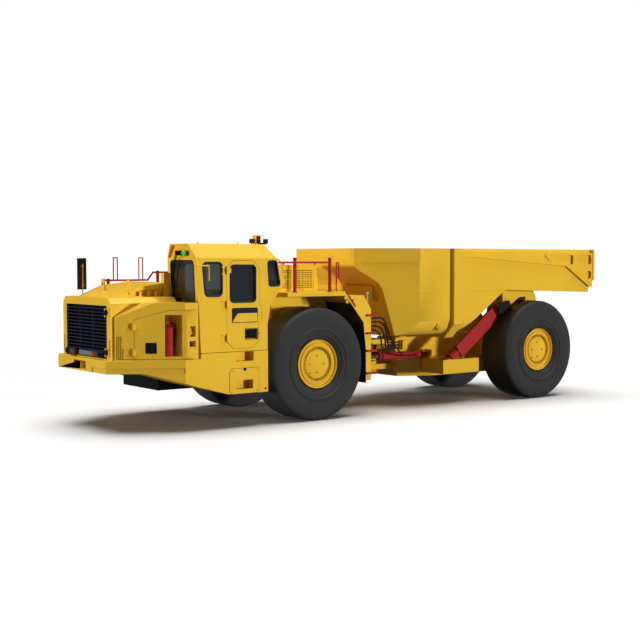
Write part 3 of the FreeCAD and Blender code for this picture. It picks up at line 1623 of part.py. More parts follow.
def make_grab_rails(hood, cab):
    """Yellow bars: mirror arm and grab rail of the cab, mast of the beacon, mirror post."""
    floor = S.cab_floor
    arm_y = SIDE + S.grab_offset
    arm_x = CAB_FRONT + S.arm_front
    arm_rear = CAB_FRONT - S.arm_rear
    arm = [
        (arm_x, arm_y, floor + S.arm_low),
        (arm_x, arm_y, floor + S.arm_high),
        (arm_rear, arm_y, floor + S.arm_high),
        (arm_rear, arm_y, floor + S.arm_rear_low),
    ]
    pieces = tube("mirror_arm", S.grab_radius, arm)
    bracket_low = floor + S.arm_bracket_low
    pieces.append(block("mirror_arm_bracket", (arm_x - S.arm_bracket_length, SIDE, bracket_low),
                        (arm_x + S.grab_radius, arm_y + S.grab_radius, bracket_low + S.arm_bracket_height)))
    grab_y = SIDE - S.tail_grab_inset
    grab = [
        (CAB_REAR - S.tail_grab_top_root, grab_y, floor + S.tail_grab_top),
        (CAB_REAR - S.tail_grab_bend, grab_y, floor + S.tail_grab_bend_low),
        (CAB_REAR - S.tail_grab_rear, grab_y, floor + S.tail_grab_low),
        (CAB_REAR - S.tail_grab_root, grab_y, floor + S.tail_grab_low),
    ]
    pieces += tube("tail_grab", S.grab_radius, grab)
    rear, middle = beacon_place()
    front = CAB_REAR + S.beacon_mast_front
    plate = S.beacon_mast_plate
    top = S.cab_roof + S.beacon_mast_height
    mast = [
        (front, S.cab_roof),
        (front, top),
        (rear, top),
        (rear, top - plate),
        (front - plate, top - plate),
        (front - plate, S.cab_roof + plate),
        (front - S.beacon_foot, S.cab_roof + plate),
        (front - S.beacon_foot, S.cab_roof),
    ]
    half = S.beacon_mast_width / 2
    pieces.append(prism("beacon_mast", "XZ_Plane", mast, middle - half, middle + half))
    post_x, plate_y = mirror_place()
    clamp = S.mirror_clamp
    post_y = plate_y + clamp / 2
    foot = S.hood_shoulder - S.overcut
    base = (post_x, post_y, foot)
    pieces.append(rod("mirror_post", S.mirror_post_radius, S.mirror_post_top - foot, base, (0, 0, 1)))
    for name, height in (("low", S.mirror_clamp_low), ("high", S.mirror_clamp_high)):
        low = (post_x - clamp / 2, plate_y, height)
        high = (post_x + clamp / 2, plate_y + clamp, height + clamp)
        pieces.append(block("mirror_clamp_" + name, low, high))
    solid = combine("MultiFuse", "grab_solid", pieces)
    carriers = combine("MultiFuse", "grab_carriers", [hood, cab])
    node(combine("Cut", "grab_rails", [solid, carriers]))


def make_roof_lamps():
    """Black fittings: two lamps and the beacon's base on the roof, and the far mirror."""
    rear, middle = beacon_place()
    roof = S.cab_roof
    centre_x = CAB_REAR - S.beacon_back
    half = S.roof_lamp_width / 2
    stem = S.roof_lamp_stem
    lift = roof + S.roof_lamp_lift
    length = S.roof_lamp_length
    lamp_front = CAB_REAR + S.beacon_mast_front + S.roof_lamp_gap
    lamp_rear = rear - S.roof_lamp_gap - length
    base_height = S.beacon_drop
    pieces = [rod("beacon_base", S.beacon_radius, base_height, (centre_x, middle, roof), (0, 0, 1))]
    for name, low_x in (("front", lamp_front), ("rear", lamp_rear)):
        low = (low_x, middle - half, lift)
        high = (low_x + length, middle + half, lift + S.roof_lamp_height)
        pieces.append(block("roof_lamp_" + name, low, high))
    stem_x = lamp_front + length / 2
    pieces.append(block("roof_lamp_stem", (stem_x - stem, middle - stem, roof),
                        (stem_x + stem, middle + stem, lift + stem)))
    pieces.append(block("roof_lamp_bar", (lamp_rear, middle - stem, roof),
                        (centre_x, middle + stem, lift + stem)))
    plate_y = mirror_place()[1]
    low = (NOSE - S.mirror_rear_back, plate_y - S.mirror_thickness, S.mirror_bottom)
    high = (NOSE - S.mirror_front_back, plate_y, S.mirror_top)
    pieces.append(block("mirror_plate", low, high))
    node(combine("MultiFuse", "roof_lamps", pieces))
    lamp_top = roof + S.beacon_mast_height - S.beacon_mast_plate
    foot = roof + base_height
    node(rod("beacon", S.beacon_radius, lamp_top - foot, (centre_x, middle, foot), (0, 0, 1)))


# ------------------------------------------------------------------ fenders and handrails
GUARD_TOP = S.fender_top - S.fender_plate
FENDER_REAR = FRONT_AXLE - S.fender_rear


def make_fenders():
    """Walk-on fender with its mudguard sheet that follows the wheel at the rear."""
    front = FRONT_AXLE + S.fender_front
    rear = FENDER_REAR
    top = S.fender_top
    foot = S.fender_bottom
    sheet = S.fender_sheet
    body = new_body("fender_l")
    guard = [
        (front, top),
        (rear, top),
        (rear, GUARD_TOP),
        (rear - S.guard_top_back, GUARD_TOP),
        (rear - S.guard_back, top - S.guard_back_drop),
        (rear - S.guard_foot_back, foot),
    ]
    guard += guard_edge(S.zero)
    guard += [(rear + S.guard_brow_ahead, GUARD_TOP), (front, GUARD_TOP)]
    pad(body, "XZ_Plane", guard, FENDER_INNER, SIDE)
    past = rear - S.guard_foot_back - S.overcut
    hollow = [
        (rear - S.guard_brow - sheet, GUARD_TOP - sheet),
        (rear - S.guard_top_back, GUARD_TOP - sheet),
        (past, top - S.guard_back_drop - S.fender_plate),
        (past, foot - S.overcut),
        (rear - S.guard_foot_front - sheet, foot - S.overcut),
        (rear - S.guard_knee_front - sheet, foot + S.guard_knee_rise),
        (rear - S.guard_shoulder_front - sheet, foot + S.guard_shoulder_rise),
    ]
    cut(body, "XZ_Plane", hollow, FENDER_INNER - S.overcut, SIDE - sheet)
    node(body)
    node(mirrored("fender_r", body))


def guard_edge(ahead):
    """The mudguard's edge towards the wheel from its foot up, moved ahead by a thickness."""
    x = FENDER_REAR + ahead
    foot = S.fender_bottom
    return [
        (x - S.guard_foot_front, foot),
        (x - S.guard_knee_front, foot + S.guard_knee_rise),
        (x - S.guard_shoulder_front, foot + S.guard_shoulder_rise),
        (x - S.guard_brow, S.fender_top - S.guard_brow_drop),
    ]


def make_fender_flaps():
    """Rubber lining of both mudguards on the side towards the wheel."""
    near = guard_edge(S.zero)
    far = guard_edge(S.flap_thickness)
    hem = S.fender_bottom - S.flap_drop
    strip = [(near[0][0], hem)] + near + far[:0:-1] + [(far[0][0], hem)]
    pieces = []
    for name, side in SIDES.items():
        low, high = span(side, FENDER_INNER, SIDE + S.flap_overhang)
        pieces.append(prism("fender_flap_" + name, "XZ_Plane", strip, low, high))
    node(combine("MultiFuse", "fender_flaps", pieces))


def make_rungs():
    pieces = []
    for name, side in SIDES.items():
        low, high = span(side, SIDE, SIDE + S.rung_reach)
        for index, rise in enumerate((S.rung_1, S.rung_2, S.rung_3, S.rung_4)):
            base = S.fender_bottom + rise
            pieces.append(block("rung_%s_%d" % (name, index), (FENDER_REAR - S.rung_rear, low, base),
                                (FENDER_REAR - S.rung_front, high, base + S.rung_height)))
    node(combine("MultiFuse", "step_rungs", pieces))


def make_handrails(cab):
    """Red rails: posts, bars and grab loops along both sides of the deck."""
    up = (0, 0, 1)
    pieces = []

    def post(name, x, y, foot, top):
        pieces.append(rod("post_" + name, S.post_radius, top - foot, (x, y, foot), up))

    def bar(name, radius, points, y):
        pieces.extend(tube("bar_" + name, radius, [(x, y, z) for x, z in points]))

    left_y = SIDE - S.rail_inset
    right_y = -left_y
    front_post = FRONT_AXLE + S.left_post_front
    rear_post = FRONT_AXLE - S.left_post_rear
    top = S.fender_top
    post("left_front", front_post, left_y, top, S.left_post_top)
    post("left_rear", rear_post, left_y, top, S.left_post_top)
    front_end = (FRONT_AXLE + S.left_bar_front, S.left_bar_height)
    bar("left", S.bar_radius, [front_end, (rear_post, S.left_bar_height)], left_y)
    loop_front = FRONT_AXLE - S.left_loop_front
    loop_rear = FRONT_AXLE - S.left_loop_rear
    loop = [
        (loop_front, top),
        (loop_front, S.left_loop_height),
        (loop_rear, S.left_loop_height),
        (loop_rear, S.left_loop_rung),
        (loop_front, S.left_loop_rung),
    ]
    bar("left_loop", S.loop_radius, loop, left_y)
    outside = SIDE + S.loop_radius + S.seat_gap
    stay = [
        (loop_rear, left_y, S.left_loop_rung),
        (loop_rear - S.stay_run, outside, S.left_loop_rung - S.stay_fall),
        (FRONT_AXLE - S.left_stay_rear, outside, S.left_stay_foot),
    ]
    pieces.extend(tube("left_stay", S.loop_radius, stay))
    bar("right", S.bar_radius, [
        (NOSE - S.right_bar_front_back, S.right_bar_height),
        (NOSE - S.right_ramp_foot_back, S.right_bar_height),
        (NOSE - S.right_ramp_head_back, S.right_top_bar),
        (NOSE - S.right_top_rear_back, S.right_top_bar),
        (NOSE - S.right_top_rear_back, DECK),
    ], right_y)
    for name, x, foot in (
        ("right_front", NOSE - S.right_post_front_back, S.box_top),
        ("right_middle", NOSE - S.right_post_middle_back, S.box_top),
        ("right_rear", NOSE - S.right_post_rear_back, DECK),
    ):
        high = S.right_top_bar if name == "right_rear" else S.right_bar_height
        post(name, x, right_y, foot, high + S.post_radius)
    half = S.right_loop_half
    for name, x in (
        ("front", NOSE - S.right_loop_front_back),
        ("rear", NOSE - S.right_loop_rear_back),
    ):
        bar("right_loop_" + name, S.loop_radius, [
            (x + half, S.right_bar_height),
            (x + half, S.right_loop_height),
            (x - half, S.right_loop_height),
            (x - half, S.right_bar_height),
        ], right_y)
    gate_y = S.guard_left - S.rail_inset
    gate_front = FRONT_AXLE + S.gate_front
    gate_rear = FRONT_AXLE - S.gate_rear
    gate_z = S.guard_height + S.gate_rise
    bar("gate", S.bar_radius, [
        (gate_front, S.guard_height),
        (gate_front, gate_z),
        (gate_rear, gate_z),
        (gate_rear, S.guard_height),
    ], gate_y)
    solid = combine("MultiFuse", "rail_solid", pieces)
    node(combine("Cut", "handrails", [solid, cab]))


def make_guard_box():
    """Hollow guard behind the cab, open below, with a low cooler box behind it."""
    front = FRONT_AXLE + S.guard_front_ahead
    rear = FRONT_AXLE - S.guard_rear_behind
    sheet = S.guard_sheet
    left = S.guard_left
    right = -S.guard_right
    body = new_body("guard_box")
    pad(body, "XY_Plane", rectangle(rear, right, front, left), DECK, S.guard_height)
    inside = rectangle(rear + sheet, right + sheet, front - sheet, left - sheet)
    cut(body, "XY_Plane", inside, DECK - S.overcut, S.guard_height - sheet)
    window = rectangle(rear + S.guard_side_frame, DECK + S.guard_side_frame,
                       front - S.guard_side_frame, S.guard_height - S.guard_side_top)
    cut(body, "XZ_Plane", window, left - sheet / 2, left + S.overcut)
    cooler = rectangle(FRONT_AXLE - S.cooler_rear, -S.cooler_half_width, rear + S.sink, S.cooler_half_width)
    pad(body, "XY_Plane", cooler, DECK, S.cooler_top)
    node(body)


# ------------------------------------------------------------------ wheels
def wheel_places():
    for end, centre_x in (("f", FRONT_AXLE), ("r", REAR_AXLE)):
        for name, side in SIDES.items():
            yield end + name, centre_x, side


def make_wheels():
    """Four smooth tyres on stepped rims; the right-hand ones are turned half round."""
    half = S.tyre_width / 2
    tread = WHEEL_RADIUS
    bead = S.rim_radius
    bore = S.hub_bore + S.seat_gap
    flange = S.rim_setback
    disc = half - S.rim_depth
    for name, centre_x, side in wheel_places():
        tyre = new_body("tyre_" + name)
        section = [
            (bead + S.seat_gap, -half),
            (tread - S.tyre_shoulder, -half),
            (tread, S.tyre_shoulder - half),
            (tread, half - S.tyre_shoulder),
            (tread - S.tyre_shoulder, half),
            (bead + S.seat_gap, half),
        ]
        lathe(tyre, section)
        rim = new_body("rim_" + name)
        wheel_section = [
            (bead, flange - half),
            (bead, half - flange),
            (S.rim_recess_radius, half - flange),
            (S.rim_recess_radius, disc),
            (S.zero, disc),
            (S.zero, disc - S.hub_cap),
            (bore, disc - S.hub_cap),
            (bore, flange - half),
        ]
        lathe(rim, wheel_section)
        for item in (tyre, rim):
            place(item, (centre_x, WHEEL_LANE * side, WHEEL_RADIUS))
            if side == RIGHT:
                item.Placement.Rotation = FreeCAD.Rotation(FreeCAD.Vector(0, 0, 1), 180)
            node(item)


# ------------------------------------------------------------------ rear unit
HOIST_LANE = SIDE - S.hoist_lane_inset
PIVOT_X = REAR_AXLE - S.bed_pivot_back
WELL_HALF = S.hoist_barrel_radius + S.moving_gap


def make_rear_frame():
    """Box frame with hitch neck, hoist arms, steering ears and the bed's pivot towers."""
    half = S.rail_width / 2
    start = HINGE - S.neck_length
    body = new_body("frame_rails")
    tower = S.tower_half_length
    head = S.bed_pivot_height + S.tower_head
    side_view = [
        (start, S.rail_bottom),
        (start, S.spine_top),
        (REAR_AXLE + S.spine_end, S.spine_top),
        (REAR_AXLE + S.tail_beam_start, S.tail_beam_top),
        (PIVOT_X + tower + S.tower_shoulder, S.tail_beam_top),
        (PIVOT_X + S.tower_head, head, S.tower_head - S.sink),
        (PIVOT_X - S.tower_head, head, S.tower_head - S.sink),
        (PIVOT_X - tower, S.tail_beam_top),
        (PIVOT_X - tower, WHEEL_RADIUS + S.tail_foot_rise),
        (REAR_AXLE - S.tail_belly_rear, WHEEL_RADIUS + S.tail_belly_rise),
        (REAR_AXLE - S.axle_arch_half, S.axle_arch_top),
        (REAR_AXLE + S.axle_arch_half, S.axle_arch_top),
        (REAR_AXLE + S.tail_belly_front, S.rail_bottom),
    ]
    pad(body, "XZ_Plane", side_view, -half, half)
    spine = S.spine_width / 2
    past = half + S.overcut
    above = head + S.overcut
    wedge = HINGE - S.wedge_back
    front = start + S.overcut
    neck_side = S.neck_half_front
    for side in SIDES.values():
        low, high = span(side, spine, past)
        shoulder = rectangle(low, S.rail_top, high, S.spine_top + S.overcut)
        cut(body, "YZ_Plane", shoulder, REAR_AXLE + S.spine_end, HINGE)
        low, high = span(side, S.tower_width / 2, past)
        cheek = rectangle(low, S.tail_beam_top, high, above)
        cut(body, "YZ_Plane", cheek, PIVOT_X - S.tower_reach, PIVOT_X + S.tower_reach)
        corner = [
            (front, neck_side * side),
            (front, past * side),
            (wedge, past * side),
            (wedge, half * side),
            (start, neck_side * side),
        ]
        cut(body, "XY_Plane", corner, S.rail_bottom - S.overcut, S.spine_top + S.overcut)
    gap = S.bay_width / 2
    bay = rectangle(PIVOT_X - S.tower_reach, S.tail_beam_top, PIVOT_X + S.tower_reach, above)
    cut(body, "XZ_Plane", bay, -gap, gap)
    neck = S.neck_width / 2
    tongue = [
        (start - S.overcut, -neck),
        (start - S.overcut, neck),
        (HINGE + neck, neck, neck - S.sink),
        (HINGE + neck, -neck, neck - S.sink),
    ]
    pad(body, "XY_Plane", tongue, S.upper_lug_bottom, S.upper_lug_top)
    pad(body, "XY_Plane", tongue, S.lower_lug_bottom, S.lower_lug_top)
    for side in SIDES.values():
        add_hoist_arm(body, side, half)
        add_steering_ears(body, side)
    rest_side = spine - S.rest_inset
    rest = rectangle(start - S.rest_rear, -rest_side, start - S.rest_front, rest_side)
    pad(body, "XY_Plane", rest, S.spine_top - S.overcut, S.bed_belly - S.seat_gap)
    bores = []
    for name, low, high in (
        ("upper", S.upper_lug_bottom, S.upper_lug_top),
        ("lower", S.lower_lug_bottom, S.lower_lug_top),
    ):
        length = high - low + S.overcut * 2
        base = (HINGE, 0, low - S.overcut)
        bores.append(rod("neck_bore_" + name, S.hitch_pin_radius + S.seat_gap, length, base, (0, 0, 1)))
    hollowed = combine("Cut", "frame_bored", [body, combine("MultiFuse", "neck_bores", bores)])
    node(combine("MultiFuse", "rear_frame", [hollowed] + frame_pins()))


def add_hoist_arm(body, side, half):
    """Arm beside the frame with the well that the hoist barrel swings in."""
    front = REAR_AXLE + S.hoist_arm_front
    rear = REAR_AXLE + S.hoist_arm_rear
    low, high = span(side, half - S.overcut, HOIST_LANE + S.hoist_barrel_radius + S.hoist_arm_wall)
    bottom = S.hoist_low_height - S.hoist_arm_drop
    top = S.hoist_low_height + S.hoist_arm_rise
    pad(body, "XY_Plane", rectangle(rear, low, front, high), bottom, top)
    low, high = span(side, HOIST_LANE - WELL_HALF, HOIST_LANE + WELL_HALF)
    well = rectangle(rear + S.hoist_arm_end, low, front - S.hoist_arm_end, high)
    cut(body, "XY_Plane", well, bottom - S.overcut, top + S.overcut)


def add_steering_ears(body, side):
    """Two plates and a post that hold the steering barrel's pin."""
    lane = S.steer_rear_lane
    low, high = span(side, lane - S.ear_half_width, lane + S.ear_half_width)
    ear_x = HINGE - S.steer_rear_back
    half_eye = S.steer_eye_width / 2 + S.moving_gap
    foot = S.rail_top - S.overcut
    top = S.steer_height + half_eye + S.ear_plate
    rear = ear_x - S.ear_back
    ear = rectangle(rear, low, ear_x + S.ear_ahead, high)
    pad(body, "XY_Plane", ear, foot, S.steer_height - half_eye)
    pad(body, "XY_Plane", ear, top - S.ear_plate, top)
    pad(body, "XY_Plane", rectangle(rear, low, rear + S.ear_post, high), foot, top)


def frame_pins():
    """Pins of both hoists, both steering barrels and the bed's hinge."""
    pins = []
    slot = S.hoist_eye_width / 2 + S.moving_gap
    wall = WELL_HALF + S.rest_inset
    eye_x = REAR_AXLE + S.hoist_low_ahead
    across = (0, 1, 0)
    for name, side in SIDES.items():
        low, high = span(side, HOIST_LANE - wall, HOIST_LANE + wall)
        base = (eye_x, low, S.hoist_low_height)
        pins.append(rod("hoist_pin_" + name, S.hoist_eye_radius / 2, high - low, base, across))
        for end, inner, outer in (
            ("in", HOIST_LANE - wall, HOIST_LANE - slot),
            ("out", HOIST_LANE + slot, HOIST_LANE + wall),
        ):
            low, high = span(side, inner, outer)
            base = (eye_x, low, S.hoist_low_height)
            label = "hoist_boss_%s_%s" % (name, end)
            pins.append(rod(label, S.hoist_boss_radius, high - low, base, across))
        pin_end = S.bay_width / 2 - S.bed_ear_thickness - S.moving_gap * 2
        low, high = span(side, pin_end, S.tower_width / 2)
        base = (PIVOT_X, low, S.bed_pivot_height)
        pins.append(rod("bed_pin_" + name, S.bed_pin_radius, high - low, base, across))
        half_eye = S.steer_eye_width / 2 + S.moving_gap
        foot = S.steer_height - half_eye - S.overcut
        base = (HINGE - S.steer_rear_back, S.steer_rear_lane * side, foot)
        length = half_eye * 2 + S.ear_plate
        pins.append(rod("steer_pin_" + name, S.steer_eye_radius / 2, length, base, (0, 0, 1)))
    return pins


# ------------------------------------------------------------------ bed
BED_NOSE = HINGE + S.bed_nose_ahead


def bed_side_view(wall):
    """Bed outline from the side, drawn in by the wall, open above when drawn in."""
    top = S.bed_top + wall * S.mouth_rise_ratio
    throat = BED_NOSE - S.bed_throat
    return [
        (BED_NOSE - wall, top),
        (BED_NOSE - wall, S.bed_top - S.bed_nose_drop + wall / 2, S.bed_nose_radius),
        (throat - wall, S.bed_top - S.bed_throat_drop + wall / 2, S.bed_throat_radius),
        (BED_NOSE - S.bed_shin - wall, S.bed_belly + wall, S.bed_shin_radius),
        (REAR_AXLE + S.bed_belly_ahead - wall / 2, S.bed_belly + wall, S.bed_heel_radius),
        (REAR_AXLE + S.bed_kink_ahead - wall / 2, S.bed_kink_height + wall, S.bed_kink_radius),
        (TAIL + S.bed_lip_back - wall * S.mouth_run_ratio, S.bed_lip_height + wall),
        (TAIL - wall * S.mouth_run_ratio, top),
    ]


def bed_plan(wall):
    """Bed outline from above, its front corners cut off, drawn in by the wall."""
    half = S.bed_nose_width / 2
    fall = SIDE - half
    slope = fall / S.bed_chamfer_length
    shift = wall * root_of_squares(S.bed_chamfer_length, fall) / S.bed_chamfer_length
    nose_half = half - shift + slope * wall
    chamfer_end = BED_NOSE - (SIDE - wall - half + shift) / slope
    end = TAIL - wall * S.mouth_run_ratio
    return [
        (BED_NOSE - wall, -nose_half),
        (BED_NOSE - wall, nose_half),
        (chamfer_end, SIDE - wall),
        (end, SIDE - wall),
        (end, -(SIDE - wall)),
        (chamfer_end, -(SIDE - wall)),
    ]


def bed_end_view(wall):
    half = SIDE - wall
    radius = S.bed_belly_radius - wall
    top = S.bed_top + wall * S.mouth_rise_ratio
    return [
        (-half, S.bed_belly + wall, radius),
        (half, S.bed_belly + wall, radius),
        (half, top),
        (-half, top),
    ]


def bed_solid(label, wall):
    """The piece that has all three of the bed's outlines."""
    past = S.overcut
    views = (
        ("XZ_Plane", bed_side_view(wall), -(SIDE + past), SIDE + past),
        ("XY_Plane", bed_plan(wall), S.bed_belly - past, S.bed_top + S.bed_nose_drop),
        ("YZ_Plane", bed_end_view(wall), TAIL - S.bed_nose_drop, BED_NOSE + past),
    )
    pieces = []
    for role, view, low, high in views:
        pieces.append(prism("%s_%s" % (label, role[:2]), role, view, low, high))
    return combine("MultiCommon", label, pieces)


def bed_band():
    """Thicker band round the top of the nose and its cut corners."""
    thick = S.band_thickness
    nose_half = S.bed_nose_width / 2
    slope = (SIDE - nose_half) / S.bed_chamfer_length
    front = BED_NOSE + thick
    rear = BED_NOSE - S.bed_chamfer_length
    wide = nose_half + thick * (1 - slope)
    side = SIDE + thick
    plan = [
        (front, -wide, S.band_radius),
        (front, wide, S.band_radius),
        (rear, side),
        (rear, -side),
    ]
    return prism("bed_band", "XY_Plane", plan, S.bed_top - S.band_height, S.bed_top)


def bed_rib():
    """Upright rib on both sides that goes round under the belly."""
    side = SIDE + S.rib_stand
    foot = S.rib_foot_half
    outline_points = [
        (-side, S.bed_top),
        (-side, S.rib_knee),
        (-foot, S.rib_foot),
        (foot, S.rib_foot),
        (side, S.rib_knee),
        (side, S.bed_top),
    ]
    return prism("bed_rib", "YZ_Plane", outline_points, REAR_AXLE + S.rib_rear, REAR_AXLE + S.rib_front)


def bed_beam():
    """Cross-beam on the front sheet under the nose."""
    view = [
        (BED_NOSE - S.beam_root_bottom, S.beam_bottom),
        (BED_NOSE - S.beam_chin, S.beam_bottom),
        (BED_NOSE - S.beam_front, S.beam_bottom + S.beam_chin_rise),
        (BED_NOSE - S.beam_front, S.beam_top),
        (BED_NOSE - S.beam_root_top, S.beam_top),
    ]
    return prism("bed_beam", "XZ_Plane", view, -S.beam_width, S.beam_width)


def bed_rail(name, side):
    """Tapering side rail with its pockets, the gusset under it and the tail post."""
    body = new_body("bed_rail_" + name)
    tail = TAIL + S.side_rail_tail
    low, high = span(side, SIDE - S.sink, SIDE + S.side_rail_stand)
    block_end = REAR_AXLE + S.side_rail_block
    front = REAR_AXLE + S.side_rail_front
    rail = [
        (front, S.side_rail_under),
        (front, S.side_rail_top),
        (block_end, S.side_rail_top),
        (block_end, S.side_rail_crown),
        (tail, S.side_rail_crown),
        (tail, S.side_rail_tail_under),
        (block_end, S.side_rail_under),
    ]
    pad(body, "XZ_Plane", rail, low, high)
    gusset = [
        (TAIL + S.gusset_front, S.gusset_head),
        (tail, S.gusset_head),
        (tail, S.gusset_foot),
        (TAIL + S.gusset_foot_rear, S.gusset_foot),
    ]
    pad(body, "XZ_Plane", gusset, low, high)
    corner = S.pocket_corner
    low, high = span(side, SIDE, SIDE + S.side_rail_stand + S.overcut)
    for rear, sill, ahead, head in (
        (S.pocket_one_rear, S.pocket_sill, S.pocket_one_front, S.pocket_head),
        (S.pocket_two_rear, S.pocket_sill, S.pocket_two_front, S.pocket_head),
        (S.pocket_two_rear, S.gusset_pocket_sill, S.gusset_pocket_front, S.gusset_pocket_head),
    ):
        pocket = rounded_rectangle(TAIL + rear, sill, TAIL + ahead, head, corner)
        cut(body, "XZ_Plane", pocket, low, high)
    low, high = span(side, SIDE - S.sink, SIDE + S.side_rail_stand + S.overcut)
    post = rectangle(TAIL + S.tail_post_rear, S.tail_post_foot, TAIL + S.tail_post_front, S.bed_top)
    pad(body, "XZ_Plane", post, low, high)
    return body


def bed_brackets(name, side):
    """Plates of one side that carry the bed's hinge pin and the hoist rod's eye."""
    pivot_z = S.bed_pivot_height
    outer = S.bay_width / 2 - S.moving_gap
    ear_half = S.bed_ear_radius
    low, high = span(side, outer - S.bed_ear_thickness, outer)
    root_z = S.bed_lip_height + S.bed_ear_sink
    ear = [
        (PIVOT_X - ear_half, pivot_z - ear_half, ear_half - S.sink),
        (PIVOT_X + ear_half, pivot_z - ear_half, ear_half - S.sink),
        (PIVOT_X + S.bed_ear_root, root_z),
        (PIVOT_X - S.bed_ear_root, root_z - S.overcut),
    ]
    pieces = [prism("bed_ear_" + name, "XZ_Plane", ear, low, high)]
    eye_x = REAR_AXLE + S.hoist_high_ahead
    foot = S.hoist_high_height - S.hoist_bracket_drop
    half = S.hoist_bracket_half
    rear = eye_x - S.hoist_web_rear
    bracket = [
        (eye_x - half, foot, S.hoist_bracket_corner),
        (eye_x + half, foot, S.hoist_bracket_corner),
        (eye_x + S.hoist_bracket_root, S.bed_kink_height + S.overcut),
        (rear, S.bed_kink_height - S.hoist_web_rear_drop),
        (rear, S.hoist_high_height + S.hoist_web_heel),
        (eye_x - S.hoist_web_waist, S.hoist_high_height + S.hoist_web_waist_rise),
    ]
    slot = S.hoist_eye_width / 2 + S.moving_gap
    plate = S.hoist_bracket_plate
    for end, inner in (("in", HOIST_LANE - slot - plate), ("out", HOIST_LANE + slot)):
        low, high = span(side, inner, inner + plate)
        pieces.append(prism("hoist_bracket_%s_%s" % (name, end), "XZ_Plane", bracket, low, high))
    return pieces


def make_bed():
    """Open tub with its band, rib, beam, rails and brackets, hollowed last."""
    pieces = [bed_solid("bed_outer", S.zero), bed_band(), bed_rib(), bed_beam()]
    for name, side in SIDES.items():
        pieces.append(bed_rail(name, side))
        pieces += bed_brackets(name, side)
    solid = combine("MultiFuse", "bed_body", pieces)
    half = S.bay_width / 2
    base = (PIVOT_X, -half, S.bed_pivot_height)
    bore = rod("bed_bore", S.bed_pin_radius + S.seat_gap, S.bay_width, base, (0, 1, 0))
    inside = combine("MultiFuse", "bed_inside", [bed_solid("bed_inner", S.bed_wall), bore])
    node(combine("Cut", "bed", [solid, inside]))


# ------------------------------------------------------------------ cylinders
class Ram:
    """Sizes of one ram, drawn along its own X axis from the barrel's eye."""

    def __init__(self, kind, upright):
        for key in ("barrel_length", "barrel_radius", "rod_radius", "rod_start", "eye_radius", "eye_width"):
            setattr(self, key, getattr(S, "%s_%s" % (kind, key)))
        self.kind = kind
        self.upright = upright
        self.eye_axis = (0, 0, 1) if upright else (0, 1, 0)

    def eye(self, label, radius, centre_x, past):
        """A round bar through an eye, longer than the eye by an overrun at each end."""
        half = self.eye_width / 2 + past
        base = (centre_x, 0, -half) if self.upright else (centre_x, -half, 0)
        return rod(label, radius, half * 2, base, self.eye_axis)


def make_cylinder(ram, name, side, start, run, rise, rise_axis):
    """Barrel and rod of one ram, placed on its line."""
    label = "%s_ram_%s" % (ram.kind, name)
    length = root_of_squares(run, rise)
    along = (1, 0, 0)
    pin_radius = ram.eye_radius / 2
    tube_start = ram.eye_radius + S.barrel_shoulder
    eye = ram.eye(label + "_eye", ram.eye_radius, S.zero, S.zero)
    neck_radius = ram.eye_width / 2 - S.sink
    neck = rod(label + "_neck", neck_radius, tube_start, (pin_radius, 0, 0), along)
    tube_length = ram.barrel_length - tube_start
    barrel_tube = rod(label + "_tube", ram.barrel_radius, tube_length, (tube_start, 0, 0), along)
    pieces = [eye, neck, barrel_tube]
    if not ram.upright:
        pieces += make_shield(label, side)
    shell = combine("MultiFuse", label + "_full", pieces)
    bore_start = tube_start + S.barrel_cap
    bore = rod(label + "_bore", ram.rod_radius + S.seat_gap, ram.barrel_length, (bore_start, 0, 0), along)
    pin = ram.eye(label + "_pin", pin_radius + S.seat_gap, S.zero, S.overcut)
    holes = combine("MultiFuse", label + "_holes", [bore, pin])
    barrel = combine("Cut", "%s_barrel_%s" % (ram.kind, name), [shell, holes])
    shaft_length = length - ram.rod_start - pin_radius
    shaft = rod(label + "_shaft", ram.rod_radius, shaft_length, (ram.rod_start, 0, 0), along)
    head = ram.eye(label + "_head", ram.eye_radius, length, S.zero)
    whole = combine("MultiFuse", label + "_rod_full", [shaft, head])
    hole = ram.eye(label + "_hole", pin_radius, length, S.overcut)
    piston = combine("Cut", "%s_rod_%s" % (ram.kind, name), [whole, hole])
    for item in (barrel, piston):
        turn(item, rise_axis, slope_angle(run, rise))
        place(item, start)
        node(item)


def make_shield(label, side):
    """Flat guard along the outer side of a hoist barrel, with its two edge strips."""
    outer = S.hoist_barrel_radius + S.shield_plate - S.hinge_step
    inner = outer - S.shield_plate
    half = S.shield_half
    low, high = span(side, inner, outer)
    plate = block(label + "_shield", (S.shield_start, low, -half), (S.shield_end, high, half))
    pieces = [plate]
    low, high = span(side, outer - S.shield_flange, outer)
    for name, foot in (("low", -half), ("high", half - S.shield_plate)):
        pieces.append(block("%s_strip_%s" % (label, name), (S.shield_start, low, foot),
                            (S.shield_end, high, foot + S.shield_plate)))
    return pieces


def make_cylinders():
    """Two hoist rams in upright planes and two steering rams in a level one."""
    hoist = Ram("hoist", False)
    steer = Ram("steer", True)
    for name, side in SIDES.items():
        start = (REAR_AXLE + S.hoist_low_ahead, HOIST_LANE * side, S.hoist_low_height)
        run = S.hoist_high_ahead - S.hoist_low_ahead
        rise = S.hoist_high_height - S.hoist_low_height
        make_cylinder(hoist, name, side, start, run, rise, (0, -1, 0))
        start = (HINGE - S.steer_rear_back, S.steer_rear_lane * side, S.steer_height)
        run = S.steer_front_ahead + S.steer_rear_back
        rise = (S.steer_front_lane - S.steer_rear_lane) * side
        make_cylinder(steer, name, side, start, run, rise, (0, 0, 1))


